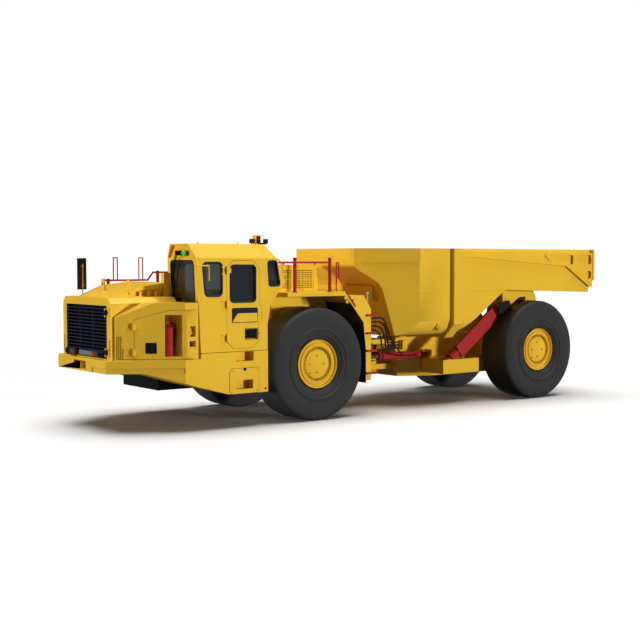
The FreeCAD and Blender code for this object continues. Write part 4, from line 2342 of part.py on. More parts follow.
# ------------------------------------------------------------------ build
make_front_chassis()
make_axle("front_axle", FRONT_AXLE)
make_nose_deck()
make_pods()
hood_form = make_hood()
make_engine()
make_side_boxes()
make_mid_housing()
cab_form = make_cab()
make_grab_rails(hood_form, cab_form)
make_roof_lamps()
make_fenders()
make_fender_flaps()
make_rungs()
make_handrails(cab_form)
make_guard_box()
make_wheels()
make_rear_frame()
make_axle("rear_axle", REAR_AXLE)
make_bed()
make_cylinders()

doc.recompute()

for item in doc.Objects:
    if "Invalid" in item.State or "Error" in item.State:
        raise RuntimeError("failed object: %s %s" % (item.Label, item.State))
for feature, base in CUTS:
    if feature.Shape.Volume >= base.Shape.Volume:
        raise RuntimeError("this cut removes nothing: " + feature.Label)
os.makedirs("parts", exist_ok=True)
for item in NODES:
    shape = item.Shape
    if shape.isNull() or not shape.isValid():
        raise RuntimeError("bad shape: " + item.Label)
    shape.exportStep("parts/%s.step" % item.Label)
    print("%-18s %2d solid(s) %8.1f dm3" % (item.Label, len(shape.Solids), shape.Volume / 1e6))
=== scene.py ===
import json
import math

import bmesh
import bpy
import numpy as np
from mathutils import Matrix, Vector


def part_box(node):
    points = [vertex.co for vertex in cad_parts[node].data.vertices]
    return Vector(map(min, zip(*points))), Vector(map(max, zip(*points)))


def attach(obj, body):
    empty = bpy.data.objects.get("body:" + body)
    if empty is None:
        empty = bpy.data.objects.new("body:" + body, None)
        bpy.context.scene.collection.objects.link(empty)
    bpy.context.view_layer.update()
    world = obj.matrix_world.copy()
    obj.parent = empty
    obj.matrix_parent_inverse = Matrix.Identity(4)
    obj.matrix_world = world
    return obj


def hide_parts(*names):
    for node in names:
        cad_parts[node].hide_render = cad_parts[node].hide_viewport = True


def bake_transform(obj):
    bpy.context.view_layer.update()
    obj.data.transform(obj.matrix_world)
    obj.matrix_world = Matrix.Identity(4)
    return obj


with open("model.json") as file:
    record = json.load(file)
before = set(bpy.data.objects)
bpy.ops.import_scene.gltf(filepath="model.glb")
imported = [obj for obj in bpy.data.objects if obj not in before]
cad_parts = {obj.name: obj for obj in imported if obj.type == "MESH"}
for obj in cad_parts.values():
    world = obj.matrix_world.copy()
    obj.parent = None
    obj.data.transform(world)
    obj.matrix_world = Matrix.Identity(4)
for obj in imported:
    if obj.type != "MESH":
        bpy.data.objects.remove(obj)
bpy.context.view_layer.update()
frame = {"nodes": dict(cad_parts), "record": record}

NODES = frame["nodes"]
X = np.array((1.0, 0.0, 0.0))
Y = np.array((0.0, 1.0, 0.0))
Z = np.array((0.0, 0.0, 1.0))

# ------------------------------------------------------------------ colours
YELLOW = (0.79, 0.478, 0.034)
RED = (0.40, 0.028, 0.030)
TYRE_BLACK = (0.034, 0.034, 0.035)
NAVY = (0.014, 0.018, 0.032)
BLACK = (0.008, 0.008, 0.009)
CHROME = (0.75, 0.76, 0.78)
IRON = (0.10, 0.10, 0.105)
GREY = (0.16, 0.165, 0.175)
GLASS = (0.02, 0.024, 0.03)
WHITE = (1.0, 1.0, 1.0)
SIGNAL_GREEN = (0.02, 0.72, 0.06)
SIGNAL_RED = (0.65, 0.02, 0.02)
AMBER = (0.72, 0.26, 0.02)
LAMP_WHITE = (0.05, 0.052, 0.056)
CLOTH_BLACK = (0.03, 0.03, 0.035)
DUST = (0.30, 0.23, 0.14)


# ------------------------------------------------------------------ shader maths
class Wire:
    """A shader socket whose sums, differences and products add Math nodes."""

    def __init__(self, graph, socket):
        self.graph = graph
        self.socket = socket

    def _maths(self, operation, first, second):
        """A Math node over two values or sockets."""
        return self.graph.add("ShaderNodeMath", {"operation": operation}, {0: first, 1: second})

    def __add__(self, other):
        return self._maths("ADD", self, other)

    __radd__ = __add__

    def __sub__(self, other):
        return self._maths("SUBTRACT", self, other)

    def __rsub__(self, other):
        return self._maths("SUBTRACT", other, self)

    def __mul__(self, other):
        return self._maths("MULTIPLY", self, other)

    __rmul__ = __mul__


class Finish:
    """A material with its Principled shader, filled in through add() and set()."""

    def __init__(self, name):
        self.material = bpy.data.materials.new(name)
        self.material.use_nodes = True
        self.nodes = self.material.node_tree.nodes
        self.links = self.material.node_tree.links
        self.shader = self.nodes["Principled BSDF"]
        self.place = self.add("ShaderNodeTexCoord", {}, {}, "Object")

    def add(self, kind, settings, inputs, output=0):
        """A node of that kind: settings first, then its sockets' values or links."""
        node = self.nodes.new(kind)
        for key, value in settings.items():
            setattr(node, key, value)
        for key, value in inputs.items():
            self.feed(node.inputs[key], value)
        return Wire(self, node.outputs[output])

    def feed(self, socket, value):
        """Links a socket, or gives it its constant value."""
        if isinstance(value, Wire):
            self.links.new(value.socket, socket)
        elif isinstance(value, tuple) and socket.type == "RGBA":
            socket.default_value = (*value, 1)
        else:
            socket.default_value = value

    def set(self, **values):
        """Feeds the Principled shader's sockets by name."""
        for key, value in values.items():
            self.feed(self.shader.inputs[key.replace("_", " ").title()], value)
        return self

    def noise(self, scale, detail=2.0, roughness=0.5, stretch=None):
        """Cloudy pattern over the piece's own coordinates, drawn out where stretch says."""
        where = self.place
        if stretch:
            where = self.add("ShaderNodeMapping", {}, {"Vector": where, "Scale": stretch})
        return self.add("ShaderNodeTexNoise", {}, {"Vector": where, "Scale": scale, "Detail": detail,
                                                   "Roughness": roughness})

    def mix(self, share, first, second):
        """The first colour at share 0 and the second at share 1."""
        return self.add("ShaderNodeMix", {"data_type": "RGBA"}, {0: share, 6: first, 7: second}, 2)

    def ramp(self, value, low, high):
        """0 below low, 1 above high, straight between."""
        return self.add("ShaderNodeMapRange", {}, {0: value, 1: low, 2: high})

    def bump(self, height, strength, distance):
        """Surface relief that follows the height."""
        return self.add("ShaderNodeBump", {}, {"Strength": strength, "Distance": distance,
                                               "Height": height})


def shade(colour, share):
    """The colour made darker or lighter by the share."""
    return tuple(channel * share for channel in colour)


def painted(name, colour, gloss=0.36, dusty=0.16):
    """Sprayed enamel: faint cloudiness, dust on the low parts and fine orange peel."""
    look = Finish(name)
    cloud = look.ramp(look.noise(0.9, 3), 0.35, 0.7)
    base = look.mix(cloud, shade(colour, 0.95), shade(colour, 1.03))
    height = look.add("ShaderNodeSeparateXYZ", {}, {0: look.place}, 2)
    low = 1 - look.ramp(height + 0.25 * look.noise(3.0, 4), 0.5, 1.4)
    speck = look.ramp(look.noise(38, 5, 0.7), 0.42, 0.75)
    dust = low * speck * dusty
    base = look.mix(dust, base, DUST)
    look.set(base_color=base, roughness=gloss + 0.10 * look.noise(14, 3) + 0.25 * dust,
             normal=look.bump(look.noise(240, 2), 0.05, 0.0006), coat_weight=0.05, coat_roughness=0.25)
    look.shader.inputs["Specular IOR Level"].default_value = 0.25
    return look.material


def rubber(name, colour, roughness=0.62, grain=90, relief=0.0015):
    """Moulded rubber with a cast grain and a pale bloom in patches."""
    look = Finish(name)
    bloom = look.ramp(look.noise(2.2, 4), 0.4, 0.8)
    base = look.mix(bloom * 0.5, colour, shade(colour, 1.25))
    look.set(base_color=base, roughness=roughness - 0.12 * look.noise(20, 3),
             normal=look.bump(look.noise(grain, 4, 0.65), 0.4, relief))
    return look.material


def metal(name, colour, roughness, stretch=None):
    """Bare metal with fine turning lines, or an even cast grain."""
    look = Finish(name)
    lines = look.noise(60, 3, 0.6, stretch)
    look.set(base_color=look.mix(lines, shade(colour, 0.85), colour), metallic=1.0,
             roughness=roughness + 0.12 * lines, normal=look.bump(lines, 0.04, 0.0004))
    return look.material


def tinted_glass(name):
    """Dark laminated glass, a little see-through."""
    look = Finish(name)
    haze = look.noise(5, 3)
    look.set(base_color=look.mix(haze, GLASS, shade(GLASS, 1.4)), roughness=0.03 + 0.05 * haze, alpha=0.55)
    return look.material


def lens(name, colour, glow):
    """Moulded lamp lens; a lit one glows in its own colour."""
    look = Finish(name)
    spread = look.noise(60, 2)
    look.set(base_color=look.mix(spread, shade(colour, 0.8), colour), roughness=0.15,
             emission_color=look.mix(spread, shade(colour, 0.9), colour), emission_strength=glow)
    return look.material


def woven(name, colour):
    """Seat cloth: two crossed sets of threads."""
    look = Finish(name)
    warp = look.add("ShaderNodeTexWave", {}, {"Vector": look.place, "Scale": 120.0})
    weft = look.add("ShaderNodeTexWave", {"bands_direction": "Z"}, {"Vector": look.place, "Scale": 120.0})
    look.set(base_color=look.mix(warp, colour, shade(colour, 1.8)), roughness=0.9,
             normal=look.bump(warp + weft, 0.3, 0.001))
    return look.material


PAINT = painted("yellow_enamel", YELLOW)
RED_PAINT = painted("red_enamel", RED, 0.34)
NAVY_PAINT = painted("navy_enamel", NAVY, 0.42, 0.05)
GREY_PAINT = painted("grey_enamel", GREY, 0.4, 0.05)
# Black: the own colour of black parts, and painted shade where a dark piece stands for a hole, gap or
# groove.
DARK = painted("black_and_painted_shade", BLACK, 0.7, 0.0)
TYRE = rubber("tyre_rubber", TYRE_BLACK, 0.62, 42, 0.006)
SEAL = rubber("seal_rubber", NAVY, 0.5, 160)
HOSE = rubber("hose_rubber", shade(TYRE_BLACK, 0.45), 0.42, 300)
CHROMED = metal("hard_chrome", CHROME, 0.12, (1.0, 14.0, 14.0))
CAST = metal("cast_iron", IRON, 0.55)
WINDOW = tinted_glass("window_glass")
CLOTH = woven("seat_cloth", CLOTH_BLACK)
GREEN_LENS = lens("green_lens", SIGNAL_GREEN, 0.5)
RED_LENS = lens("red_lens", shade(SIGNAL_RED, 0.45), 0.0)
AMBER_LENS = lens("amber_lens", shade(AMBER, 0.25), 0.0)
WHITE_LENS = lens("white_lens", LAMP_WHITE, 0.0)

FINISHES = {
    "yellow": PAINT,
    "red": RED_PAINT,
    "tyre": TYRE,
    "rubber": SEAL,
    "grille": NAVY_PAINT,
    "iron": CAST,
    "glass": WINDOW,
    "chrome": CHROMED,
    "seat_fabric": CLOTH,
    "lamp_red": RED_LENS,
}
SLOTS = {part["node"]: part["material_slot"] for part in frame["record"]["subparts"]}
BODY_OF = {node: body for body, nodes in frame["record"]["behaviour"]["bodies"].items() for node in nodes}


SIDES = (("l", 1), ("r", -1))


# ------------------------------------------------------------------ shapes
def unit(vectors):
    """Each vector divided by its length."""
    vectors = np.asarray(vectors, float)
    return vectors / np.linalg.norm(vectors, axis=-1, keepdims=True)


def oblong(low_a, low_b, high_a, high_b):
    """A rectangle's four corners, counter-clockwise from the low one."""
    return np.array([(low_a, low_b), (high_a, low_b), (high_a, high_b), (low_a, high_b)])


def centred(half_a, half_b, a=0.0, b=0.0):
    """The sides of a rectangle that reaches half_a and half_b from its middle (a, b)."""
    return a - half_a, b - half_b, a + half_a, b + half_b


def rounded(corners, radius, steps=5):
    """An outline and its outward normals. Corners run counter-clockwise; at each one an arc
    of the radius touches both sides, and its normal turns from one side's to the next's."""
    corners = np.asarray(corners, float)
    arriving = unit(corners - np.roll(corners, 1, 0))
    leaving = unit(np.roll(corners, -1, 0) - corners)
    first = np.stack([arriving[:, 1], -arriving[:, 0]], 1)
    last = np.stack([leaving[:, 1], -leaving[:, 0]], 1)
    middle = unit(first + last)
    radius = np.broadcast_to(np.asarray(radius, float), len(corners))
    centres = corners - middle * (radius / (middle * first).sum(1))[:, None]
    share = np.linspace(0, 1, steps)[None, :, None]
    normals = unit(first[:, None] * (1 - share) + last[:, None] * share)
    points = centres[:, None] + radius[:, None, None] * normals
    return points.reshape(-1, 2), normals.reshape(-1, 2)


def ellipse(centre_a, centre_b, half_a, half_b, steps=28):
    """An outline of (half_a cos t, half_b sin t) round its centre, with its normals."""
    turn = np.linspace(0, 2 * np.pi, steps, endpoint=False)
    circle = np.stack([np.cos(turn), np.sin(turn)], 1)
    normals = unit(circle * (half_b, half_a))
    return circle * (half_a, half_b) + (centre_a, centre_b), normals


class Board:
    """A drawing board in space: a flat point (a, b) lies at origin + a across + b up + height out."""

    def __init__(self, origin, across, up, out):
        """Keeps the origin and makes the three directions one long."""
        self.origin = np.asarray(origin, float)
        self.across = unit(across)
        self.up = unit(up)
        self.out = unit(out)

    def at(self, flat, height=0.0):
        """Flat points, or one, put in space at a height over the board."""
        flat = np.asarray(flat, float)
        return (self.origin + flat[..., :1] * self.across + flat[..., 1:2] * self.up
                + np.asarray(height, float)[..., None] * self.out)


def side_board(y, side=1):
    """A board along the truck at that y, facing out to its side."""
    return Board((0, y, 0), X, Z, Y * side)


def front_board(x):
    """A board across the truck at that x, facing ahead."""
    return Board((x, 0, 0), Y, Z, X)


def slab(board, outline, low, high, edge=0.0):
    """A plate between two heights over the board, its outer edge chamfered."""
    points, normals = outline
    levels = [(0.0, low), (0.0, high - edge), (edge, high)] if edge else [(0.0, low), (0.0, high)]
    return np.stack([board.at(points - normals * inset, level) for inset, level in levels])


def plate(board, sides, radius, low, high, edge=0.0, steps=5):
    """A rectangular slab with rounded corners; sides are its (low a, low b, high a, high b)."""
    return slab(board, rounded(oblong(*sides), radius, steps), low, high, edge)


def moulding(board, outline, profile):
    """A profile of (outwards, height) points carried once round an outline, closed on itself."""
    points, normals = outline
    out, height = np.asarray(profile, float).T
    flat = points[:, None] + normals[:, None] * out[None, :, None]
    return board.at(flat, np.broadcast_to(height, flat.shape[:2]))


def turned(profile, centre, axis, around=32, start=0.0):
    """Rings of (radius, height) about an axis:
    centre + height axis + radius (cos t side + sin t other)."""
    axis = unit(axis)
    side = unit(np.cross(axis, Z if abs(axis[2]) < 0.9 else X))
    other = np.cross(axis, side)
    turn = np.linspace(0, 2 * np.pi, around, endpoint=False)[:, None] + start
    circle = np.cos(turn) * side + np.sin(turn) * other
    radius, height = np.asarray(profile, float).T
    return np.asarray(centre, float) + height[:, None, None] * axis + radius[:, None, None] * circle


def ring_tube(centre, axis, first, reach, thickness, around=32):
    """A round bar bent to a ring: circle + thickness (cos s outwards + sin s axis)."""
    axis = unit(axis)
    first = unit(first)
    second = np.cross(axis, first)
    turn = np.linspace(0, 2 * np.pi, around, endpoint=False)[:, None]
    outwards = np.cos(turn) * first + np.sin(turn) * second
    section = np.linspace(0, 2 * np.pi, 10, endpoint=False)[None, :, None]
    return (np.asarray(centre) + reach * outwards[:, None]
            + thickness * (np.cos(section) * outwards[:, None] + np.sin(section) * axis))


def bolt(centre, axis, radius, height):
    """A six-sided head of that radius and height, with a chamfered top."""
    profile = [(radius, 0.0), (radius, height * 0.75), (radius * 0.82, height)]
    return turned(profile, centre, axis, 6)


def carried(line, radius, sides=12):
    """A round section carried along a line: point + radius (cos t first + sin t second), where
    each ring stands square to the line and is unturned from the last."""
    line = np.asarray(line, float)
    ways = unit(np.gradient(line, axis=0))
    side = unit(np.cross(ways[0], Z if abs(ways[0][2]) < 0.9 else X))
    sides_along = []
    for way in ways:  # one step a ring, because each side follows from the last
        side = unit(side - way * (side @ way))
        sides_along.append(side)
    first = np.array(sides_along)[:, None]
    second = np.cross(ways, np.array(sides_along))[:, None]
    turn = np.linspace(0, 2 * np.pi, sides, endpoint=False)[None, :, None]
    return line[:, None] + radius * (np.cos(turn) * first + np.sin(turn) * second)


def bent(points, radius, steps=6):
    """A line through space whose corners are arcs of the radius, each touching both of its runs."""
    points = np.asarray(points, float)
    inner = points[1:-1]
    arriving = unit(inner - points[:-2])
    leaving = unit(points[2:] - inner)
    inward = unit(leaving - arriving)
    cosine = np.sqrt((1 + (arriving * leaving).sum(1)) / 2)
    centres = inner + inward * (radius / cosine)[:, None]
    from_centre = unit(arriving * (inward * arriving).sum(1)[:, None] - inward)
    to_centre = unit(leaving * (inward * leaving).sum(1)[:, None] - inward)
    share = np.linspace(0, 1, steps)[None, :, None]
    spokes = unit(from_centre[:, None] * (1 - share) + to_centre[:, None] * share)
    arcs = (centres[:, None] + radius * spokes).reshape(-1, 3)
    return np.vstack([points[:1], arcs, points[-1:]])


# ------------------------------------------------------------------ pieces
CREASE = math.radians(32)
SAME_PLACE = 2e-5
SAME_PLANE = math.radians(0.4)
EDGE = 0.006
THIN_EDGE = 0.002


def finished(obj, body, slot, material=None):
    """Gives a piece its finish and lets it ride on its body."""
    obj.data.materials.clear()
    obj.data.materials.append(material or FINISHES[slot])
    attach(obj, body)
    return obj


def shell_faces(count, rows, around, capped, start):
    """Quads between neighbouring rings, and end faces on an open shell's first and last ring."""
    index = np.arange(rows * around).reshape(rows, around)
    here = index[:-1] if capped else index
    ahead = index[1:] if capped else np.roll(index, -1, 0)
    sides = np.stack([here, np.roll(here, -1, 1), np.roll(ahead, -1, 1), ahead], -1).reshape(-1, 4)
    jumps = (start + rows * around * np.arange(count))[:, None, None]
    faces = (sides[None] + jumps).reshape(-1, 4).tolist()
    if capped:
        ends = np.stack([index[0, ::-1], index[-1]])
        faces += (ends[None] + jumps).reshape(-1, around).tolist()
    return faces


def skinned(name, shells, looped=()):
    """One mesh object from shells of rings, with ends or looped round; like shells may be stacked."""
    points = []
    faces = []
    start = 0
    for group, capped in ((shells, True), (looped, False)):
        for rings in group:
            rings = np.asarray(rings, float)
            rings = rings if rings.ndim == 4 else rings[None]
            count, rows, around = rings.shape[:3]
            faces += shell_faces(count, rows, around, capped, start)
            points.append(rings.reshape(-1, 3))
            start += count * rows * around
    mesh = bpy.data.meshes.new(name)
    mesh.from_pydata(np.vstack(points), [], faces)
    work = bmesh.new()
    work.from_mesh(mesh)
    bmesh.ops.recalc_face_normals(work, faces=work.faces)
    work.to_mesh(mesh)
    work.free()
    mesh.shade_smooth()
    mesh.set_sharp_from_angle(angle=CREASE)
    obj = bpy.data.objects.new(name, mesh)
    bpy.context.scene.collection.objects.link(obj)
    return obj


def piece(name, body, slot, shells=(), looped=(), material=None):
    """A finished piece made of shells."""
    return finished(skinned(name, shells, looped), body, slot, material)


def dark_piece(name, body, shells=(), looped=()):
    """A black piece: the own colour of black ironwork, and painted shade where it stands for a hole, a gap
    or a groove.
    """
    return piece(name, body, "grille", shells, looped, DARK)


def copies(rings, offsets):
    """The same shell moved by each offset, stacked."""
    return rings[None] + np.asarray(offsets, float)[:, None, None, :]


def merged_copy(node):
    """The CAD node's triangles joined at their shared corners, flat faces made whole."""
    mesh = NODES[node].data.copy()
    mesh.name = node + "_finished"
    work = bmesh.new()
    work.from_mesh(mesh)
    bmesh.ops.remove_doubles(work, verts=work.verts, dist=SAME_PLACE)
    bmesh.ops.dissolve_limit(work, angle_limit=SAME_PLANE, verts=work.verts, edges=work.edges)
    work.to_mesh(mesh)
    work.free()
    obj = bpy.data.objects.new(node + "_finished", mesh)
    bpy.context.scene.collection.objects.link(obj)
    return obj


def pierced(obj, cutters):
    """Cuts closed shells out of a piece, once, so that its mesh keeps the holes."""
    tool = skinned("cutter", cutters)
    cut = obj.modifiers.new("holes", "BOOLEAN")
    cut.operation = "DIFFERENCE"
    cut.solver = "EXACT"
    cut.object = tool
    bpy.context.view_layer.update()
    seen = obj.evaluated_get(bpy.context.evaluated_depsgraph_get())
    mesh = bpy.data.meshes.new_from_object(seen)
    mesh.name = obj.name
    obj.modifiers.clear()
    mesh.shade_smooth()
    mesh.set_sharp_from_angle(angle=CREASE)
    obj.data = mesh
    bpy.data.objects.remove(tool)
    return obj


def rounded_copy(node, edge, cutters=()):
    """A merged copy of a CAD node with softly rounded edges, standing for the node."""
    obj = merged_copy(node)
    if cutters:
        pierced(obj, cutters)
    obj.data.shade_smooth()
    obj.data.set_sharp_from_angle(angle=CREASE)
    if edge:
        bevel = obj.modifiers.new("edges", "BEVEL")
        bevel.width = edge
        bevel.segments = 2
        bevel.limit_method = "ANGLE"
        bevel.angle_limit = CREASE
        bevel.use_clamp_overlap = True
        flat = obj.modifiers.new("flat_faces", "WEIGHTED_NORMAL")
        flat.mode = "FACE_AREA_WITH_ANGLE"
        flat.weight = 100
        flat.keep_sharp = True
    finished(obj, BODY_OF[node], SLOTS[node])
    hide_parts(node)
    return obj


# ------------------------------------------------------------------ wheels
# Sections are (distance from the axle, distance out from the wheel's middle).
TYRE_HALF = [
    (0.432, 0.262), (0.447, 0.270), (0.462, 0.302), (0.486, 0.322), (0.508, 0.330), (0.516, 0.345),
    (0.545, 0.356), (0.592, 0.361), (0.604, 0.374), (0.632, 0.3745), (0.652, 0.360), (0.680, 0.364),
    (0.735, 0.373), (0.820, 0.372), (0.890, 0.363), (0.940, 0.350), (0.972, 0.331), (0.990, 0.305),
    (0.998, 0.270), (1.000, 0.215),
]
RIM_FACE = [
    (0.001, 0.288), (0.250, 0.288), (0.257, 0.284), (0.259, 0.215), (0.298, 0.215), (0.299, 0.220),
    (0.300, 0.296), (0.304, 0.304), (0.312, 0.306), (0.318, 0.298), (0.326, 0.298), (0.330, 0.306),
    (0.358, 0.303), (0.372, 0.280), (0.394, 0.272), (0.404, 0.282), (0.410, 0.310), (0.416, 0.3148),
    (0.426, 0.3148), (0.4298, 0.308),
]
RIM_BACK = [
    (0.4298, -0.308), (0.425, -0.3148), (0.390, -0.3148), (0.372, -0.290), (0.1215, -0.290),
    (0.1215, 0.0955), (0.001, 0.0955),
]
RIM_BOLTS = 44
RIM_BOLT_RING = 0.2785
RIM_BOLT_SEAT = 0.215
# A bolt or screw is (radius, height of its head), here and below.
RIM_BOLT = (0.0125, 0.066)
RIM_PLUG_RING = 0.147
RIM_PLUG = [(0.023, 0.0), (0.023, 0.008), (0.019, 0.010), (0.013, 0.010), (0.011, 0.004), (0.001, 0.004)]
RIM_PLUG_HOLE_SHADE = [(0.010, 0.004), (0.010, 0.0048)]
RIM_VALVE_PLACE = (0.152, -0.158)
RIM_VALVE = [(0.024, 0.0), (0.024, 0.007), (0.016, 0.009)]
RIM_VALVE_HOLE_SHADE = [(0.012, 0.009), (0.012, 0.0105)]


def make_wheel(name):
    """A tyre and its rim: closed sections turned about the axle, with bolts round the rim's groove."""
    low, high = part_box("tyre_" + name)
    centre = np.array((low + high) / 2)
    out = Y * math.copysign(1, centre[1])
    half = np.array(TYRE_HALF)
    tyre = np.vstack([half, (half * (1, -1))[::-1]])
    obj = piece("tyre_%s_moulded" % name, BODY_OF["tyre_" + name], "tyre",
                looped=[turned(tyre, centre, out, 128)])
    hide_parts("tyre_" + name)
    face = centre + out * RIM_FACE[0][1]
    turn = np.linspace(0, 2 * np.pi, RIM_BOLTS, endpoint=False)
    ring = np.stack([np.cos(turn), 0 * turn, np.sin(turn)], 1) * RIM_BOLT_RING
    plugs = RIM_PLUG_RING * np.array([X, -X, Z, -Z])
    valve = face + RIM_VALVE_PLACE[0] * X + RIM_VALVE_PLACE[1] * Z
    rim = [turned(RIM_FACE + RIM_BACK, centre, out, 96),
           copies(bolt(centre + out * RIM_BOLT_SEAT, out, *RIM_BOLT), ring),
           copies(turned(RIM_PLUG, face, out, 16), plugs),
           turned(RIM_VALVE, valve, out, 16)]
    obj = piece("rim_%s_turned" % name, BODY_OF["rim_" + name], "yellow", rim)
    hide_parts("rim_" + name)
    # Dark discs in the plug and valve holes: painted shade.
    holes = [turned(RIM_VALVE_HOLE_SHADE, valve, out, 16), copies(turned(RIM_PLUG_HOLE_SHADE, face, out, 12), plugs)]
    dark_piece("rim_%s_holes" % name, BODY_OF["rim_" + name], holes)


# ------------------------------------------------------------------ places
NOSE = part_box("nose_deck")[1].x
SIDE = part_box("pod_l")[1].y
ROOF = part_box("cab_shell")[1].z
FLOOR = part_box("cab_shell")[0].z
VISOR = 0.106
CAB_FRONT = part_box("cab_shell")[1].x - VISOR
CAB_REAR = CAB_FRONT - 1.319
FRONT_AXLE = (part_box("tyre_fl")[0].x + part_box("tyre_fl")[1].x) / 2
FRONT = "front_frame"
REAR = BODY_OF["rear_frame"]
BED = BODY_OF["bed"]
SIDE_BOARD = side_board(SIDE)
# The left side box's face runs from its nose corner back and out to the pod's side.
BOX_NOSE = NOSE - 0.155
BOX_NOSE_SIDE = 0.942
TAPER_END = NOSE - 1.110
TAPER = unit((BOX_NOSE - TAPER_END, BOX_NOSE_SIDE - SIDE, 0))
FLANK = Board((BOX_NOSE, BOX_NOSE_SIDE, 0), -TAPER, Z, unit((-TAPER[1], TAPER[0], 0)))


def along_flank(x):
    """How far along the left side box's face a place at that x lies."""
    return (BOX_NOSE - x) / TAPER[0]


# ------------------------------------------------------------------ nose
VENT_FIRST = (0.022, 1.245)
VENT_STEP = (0.0315, 0.0335)
VENT_COLUMNS = 3
VENT_ROWS = 11
VENT_SHORT_ROWS = 5
VENT_HOLE = centred(0.0110, 0.0118)
VENT_CUT = (-0.06, 0.02)
COMB_BACK = 0.100
COMB_SIDE = 0.848
COMB_LEVELS = 1.262 + 0.0212 * np.arange(14)
COMB_SLIT = centred(0.030, 0.0055)
COMB_CUT = (-0.04, 0.02)


def vent_holes():
    """Square prisms through the left box's front edge, at first + column step + row step: three
    full columns and a short fourth."""
    columns = VENT_FIRST[0] + VENT_STEP[0] * np.arange(VENT_COLUMNS + 1)
    rows = VENT_FIRST[1] + VENT_STEP[1] * np.arange(VENT_ROWS)
    full = np.stack(np.meshgrid(columns[:-1], rows), -1).reshape(-1, 2)
    short = np.stack(np.meshgrid(columns[-1:], rows[:VENT_SHORT_ROWS]), -1).reshape(-1, 2)
    places = np.vstack([full, short])
    hole = plate(FLANK, VENT_HOLE, 0.003, *VENT_CUT, steps=3)
    return [copies(hole, places[:, :1] * FLANK.across + places[:, 1:] * FLANK.up)]


def comb_slits():
    """Level slots, one above the other, down both outer edges of the hood's front frame."""
    slot = plate(front_board(0), COMB_SLIT, 0.003, *COMB_CUT, steps=3)
    places = [(NOSE - COMB_BACK, side, level) for side in (-COMB_SIDE, COMB_SIDE) for level in COMB_LEVELS]
    return [copies(slot, places)]


RADIATOR_BACK = 0.225
RADIATOR_CORE = (-0.72, 1.30, 0.72, 2.02)
FIN = (-0.003, 1.31, 0.003, 2.01)
FIN_PLACES = np.linspace(-0.70, 0.70, 57)
TANK_SIDE = 0.74
TANK_LEVELS = (1.225, 2.025)
TANK_HEIGHT = 0.06


def make_radiator():
    """Core and header tanks of the radiator behind the slats: plates, with thin fins at even steps."""
    board = front_board(NOSE - RADIATOR_BACK)
    core = plate(board, RADIATOR_CORE, 0.01, 0.0, 0.03, 0.004)
    fin = plate(board, FIN, 0.0015, 0.028, 0.036, steps=3)
    tanks = [plate(board, (-TANK_SIDE, low, TANK_SIDE, low + TANK_HEIGHT), 0.02, -0.02, 0.045, 0.008)
             for low in TANK_LEVELS]
    fins = copies(fin, FIN_PLACES[:, None] * Y)
    dark_piece("radiator", FRONT, [core, fins] + tanks)


LAMP_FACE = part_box("grille_lamps")[1].x
LAMP_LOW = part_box("grille_lamps")[0].z + 0.016
LAMP_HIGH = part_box("grille_lamps")[1].z - 0.018
# Each lens: its name, its finish, and where it starts and ends across the grille.
LAMPS = (
    ("red_l", RED_LENS, 0.352, 0.412),
    ("amber_l", AMBER_LENS, 0.284, 0.340),
    ("white_l", WHITE_LENS, 0.424, 0.474),
    ("red_r", RED_LENS, -0.448, -0.392),
    ("amber_r", AMBER_LENS, -0.520, -0.460),
    ("white_r", WHITE_LENS, -0.588, -0.532),
)
LAMP_RIBS = (0.500, 0.530, 0.560, 0.590, 0.620, -0.735, -0.705, -0.675, -0.645, -0.615)
LAMP_RIB_WIDTH = 0.012
LENS_RIB = 0.006
HORN_BOWL = [(0.030, 0.0), (0.030, 0.016), (0.024, 0.018), (0.020, 0.008), (0.001, 0.006)]
HORN_SIDE = -0.315
LAMP_PLATE = (-0.262, LAMP_LOW, 0.235, LAMP_HIGH)


def lens_block(first, last):
    """A lens between two places across the grille, with four level ribs on its face."""
    board = front_board(LAMP_FACE)
    levels = np.linspace(LAMP_LOW + 2 * LENS_RIB, LAMP_HIGH - 3 * LENS_RIB, 4)
    ribs = [plate(board, (first + LENS_RIB, level, last - LENS_RIB, level + LENS_RIB), 0.002,
                  0.008, 0.012, steps=3) for level in levels]
    return [plate(board, (first, LAMP_LOW, last, LAMP_HIGH), 0.008, -0.004, 0.009, 0.003)] + ribs


def make_grille_lamps():
    """Lamp clusters of plates: coloured lenses, ribbed dark lamps and the grey plate between them,
    with a horn's bowl turned about X."""
    body = BODY_OF["grille_lamps"]
    for name, material, first, last in LAMPS:
        piece("lamp_" + name, body, "lamp_red", lens_block(first, last), material=material)
    board = front_board(LAMP_FACE)
    ribs = [plate(board, (side, LAMP_LOW, side + LAMP_RIB_WIDTH, LAMP_HIGH), 0.003,
                  -0.002, 0.012, 0.002, steps=3)
            for side in LAMP_RIBS]
    piece("lamp_ribs", body, "grille", ribs)
    horn = turned(HORN_BOWL, (LAMP_FACE - 0.012, HORN_SIDE, (LAMP_LOW + LAMP_HIGH) / 2), X, 24)
    piece("horn", body, "grille", [horn])
    panel = plate(front_board(LAMP_FACE - 0.02), LAMP_PLATE, 0.01, -0.01, 0.008, 0.003)
    piece("lamp_plate", body, "grille", [panel], material=GREY_PAINT)


HOOD_SCREWS = ((5.42, -0.52, 2.2095), (5.36, 0.47, 2.2095), (5.20, 0.30, 2.221), (5.42, 0.84, 2.166),
               (5.20, -0.70, 2.221))
HOOD_SCREW = (0.013, 0.009)
HINGE_BOLT = (0.0085, 0.006)
FRAME_BOLT_COLUMNS = (0.232, 0.254)
FRAME_BOLT_LEVELS = (1.762, 1.714, 1.415, 1.381, 1.306, 1.265)
DOOR_BOLT_COLUMNS = (0.345, 0.367)
DOOR_BOLT_LEVELS = (1.762, 1.714, 1.306, 1.265)


def flank_bolts(columns, levels):
    """Bolt heads on the left side box's face, one where each column meets each level."""
    return [bolt(FLANK.at((along, level)), FLANK.out, *HINGE_BOLT) for along in columns for level in levels]


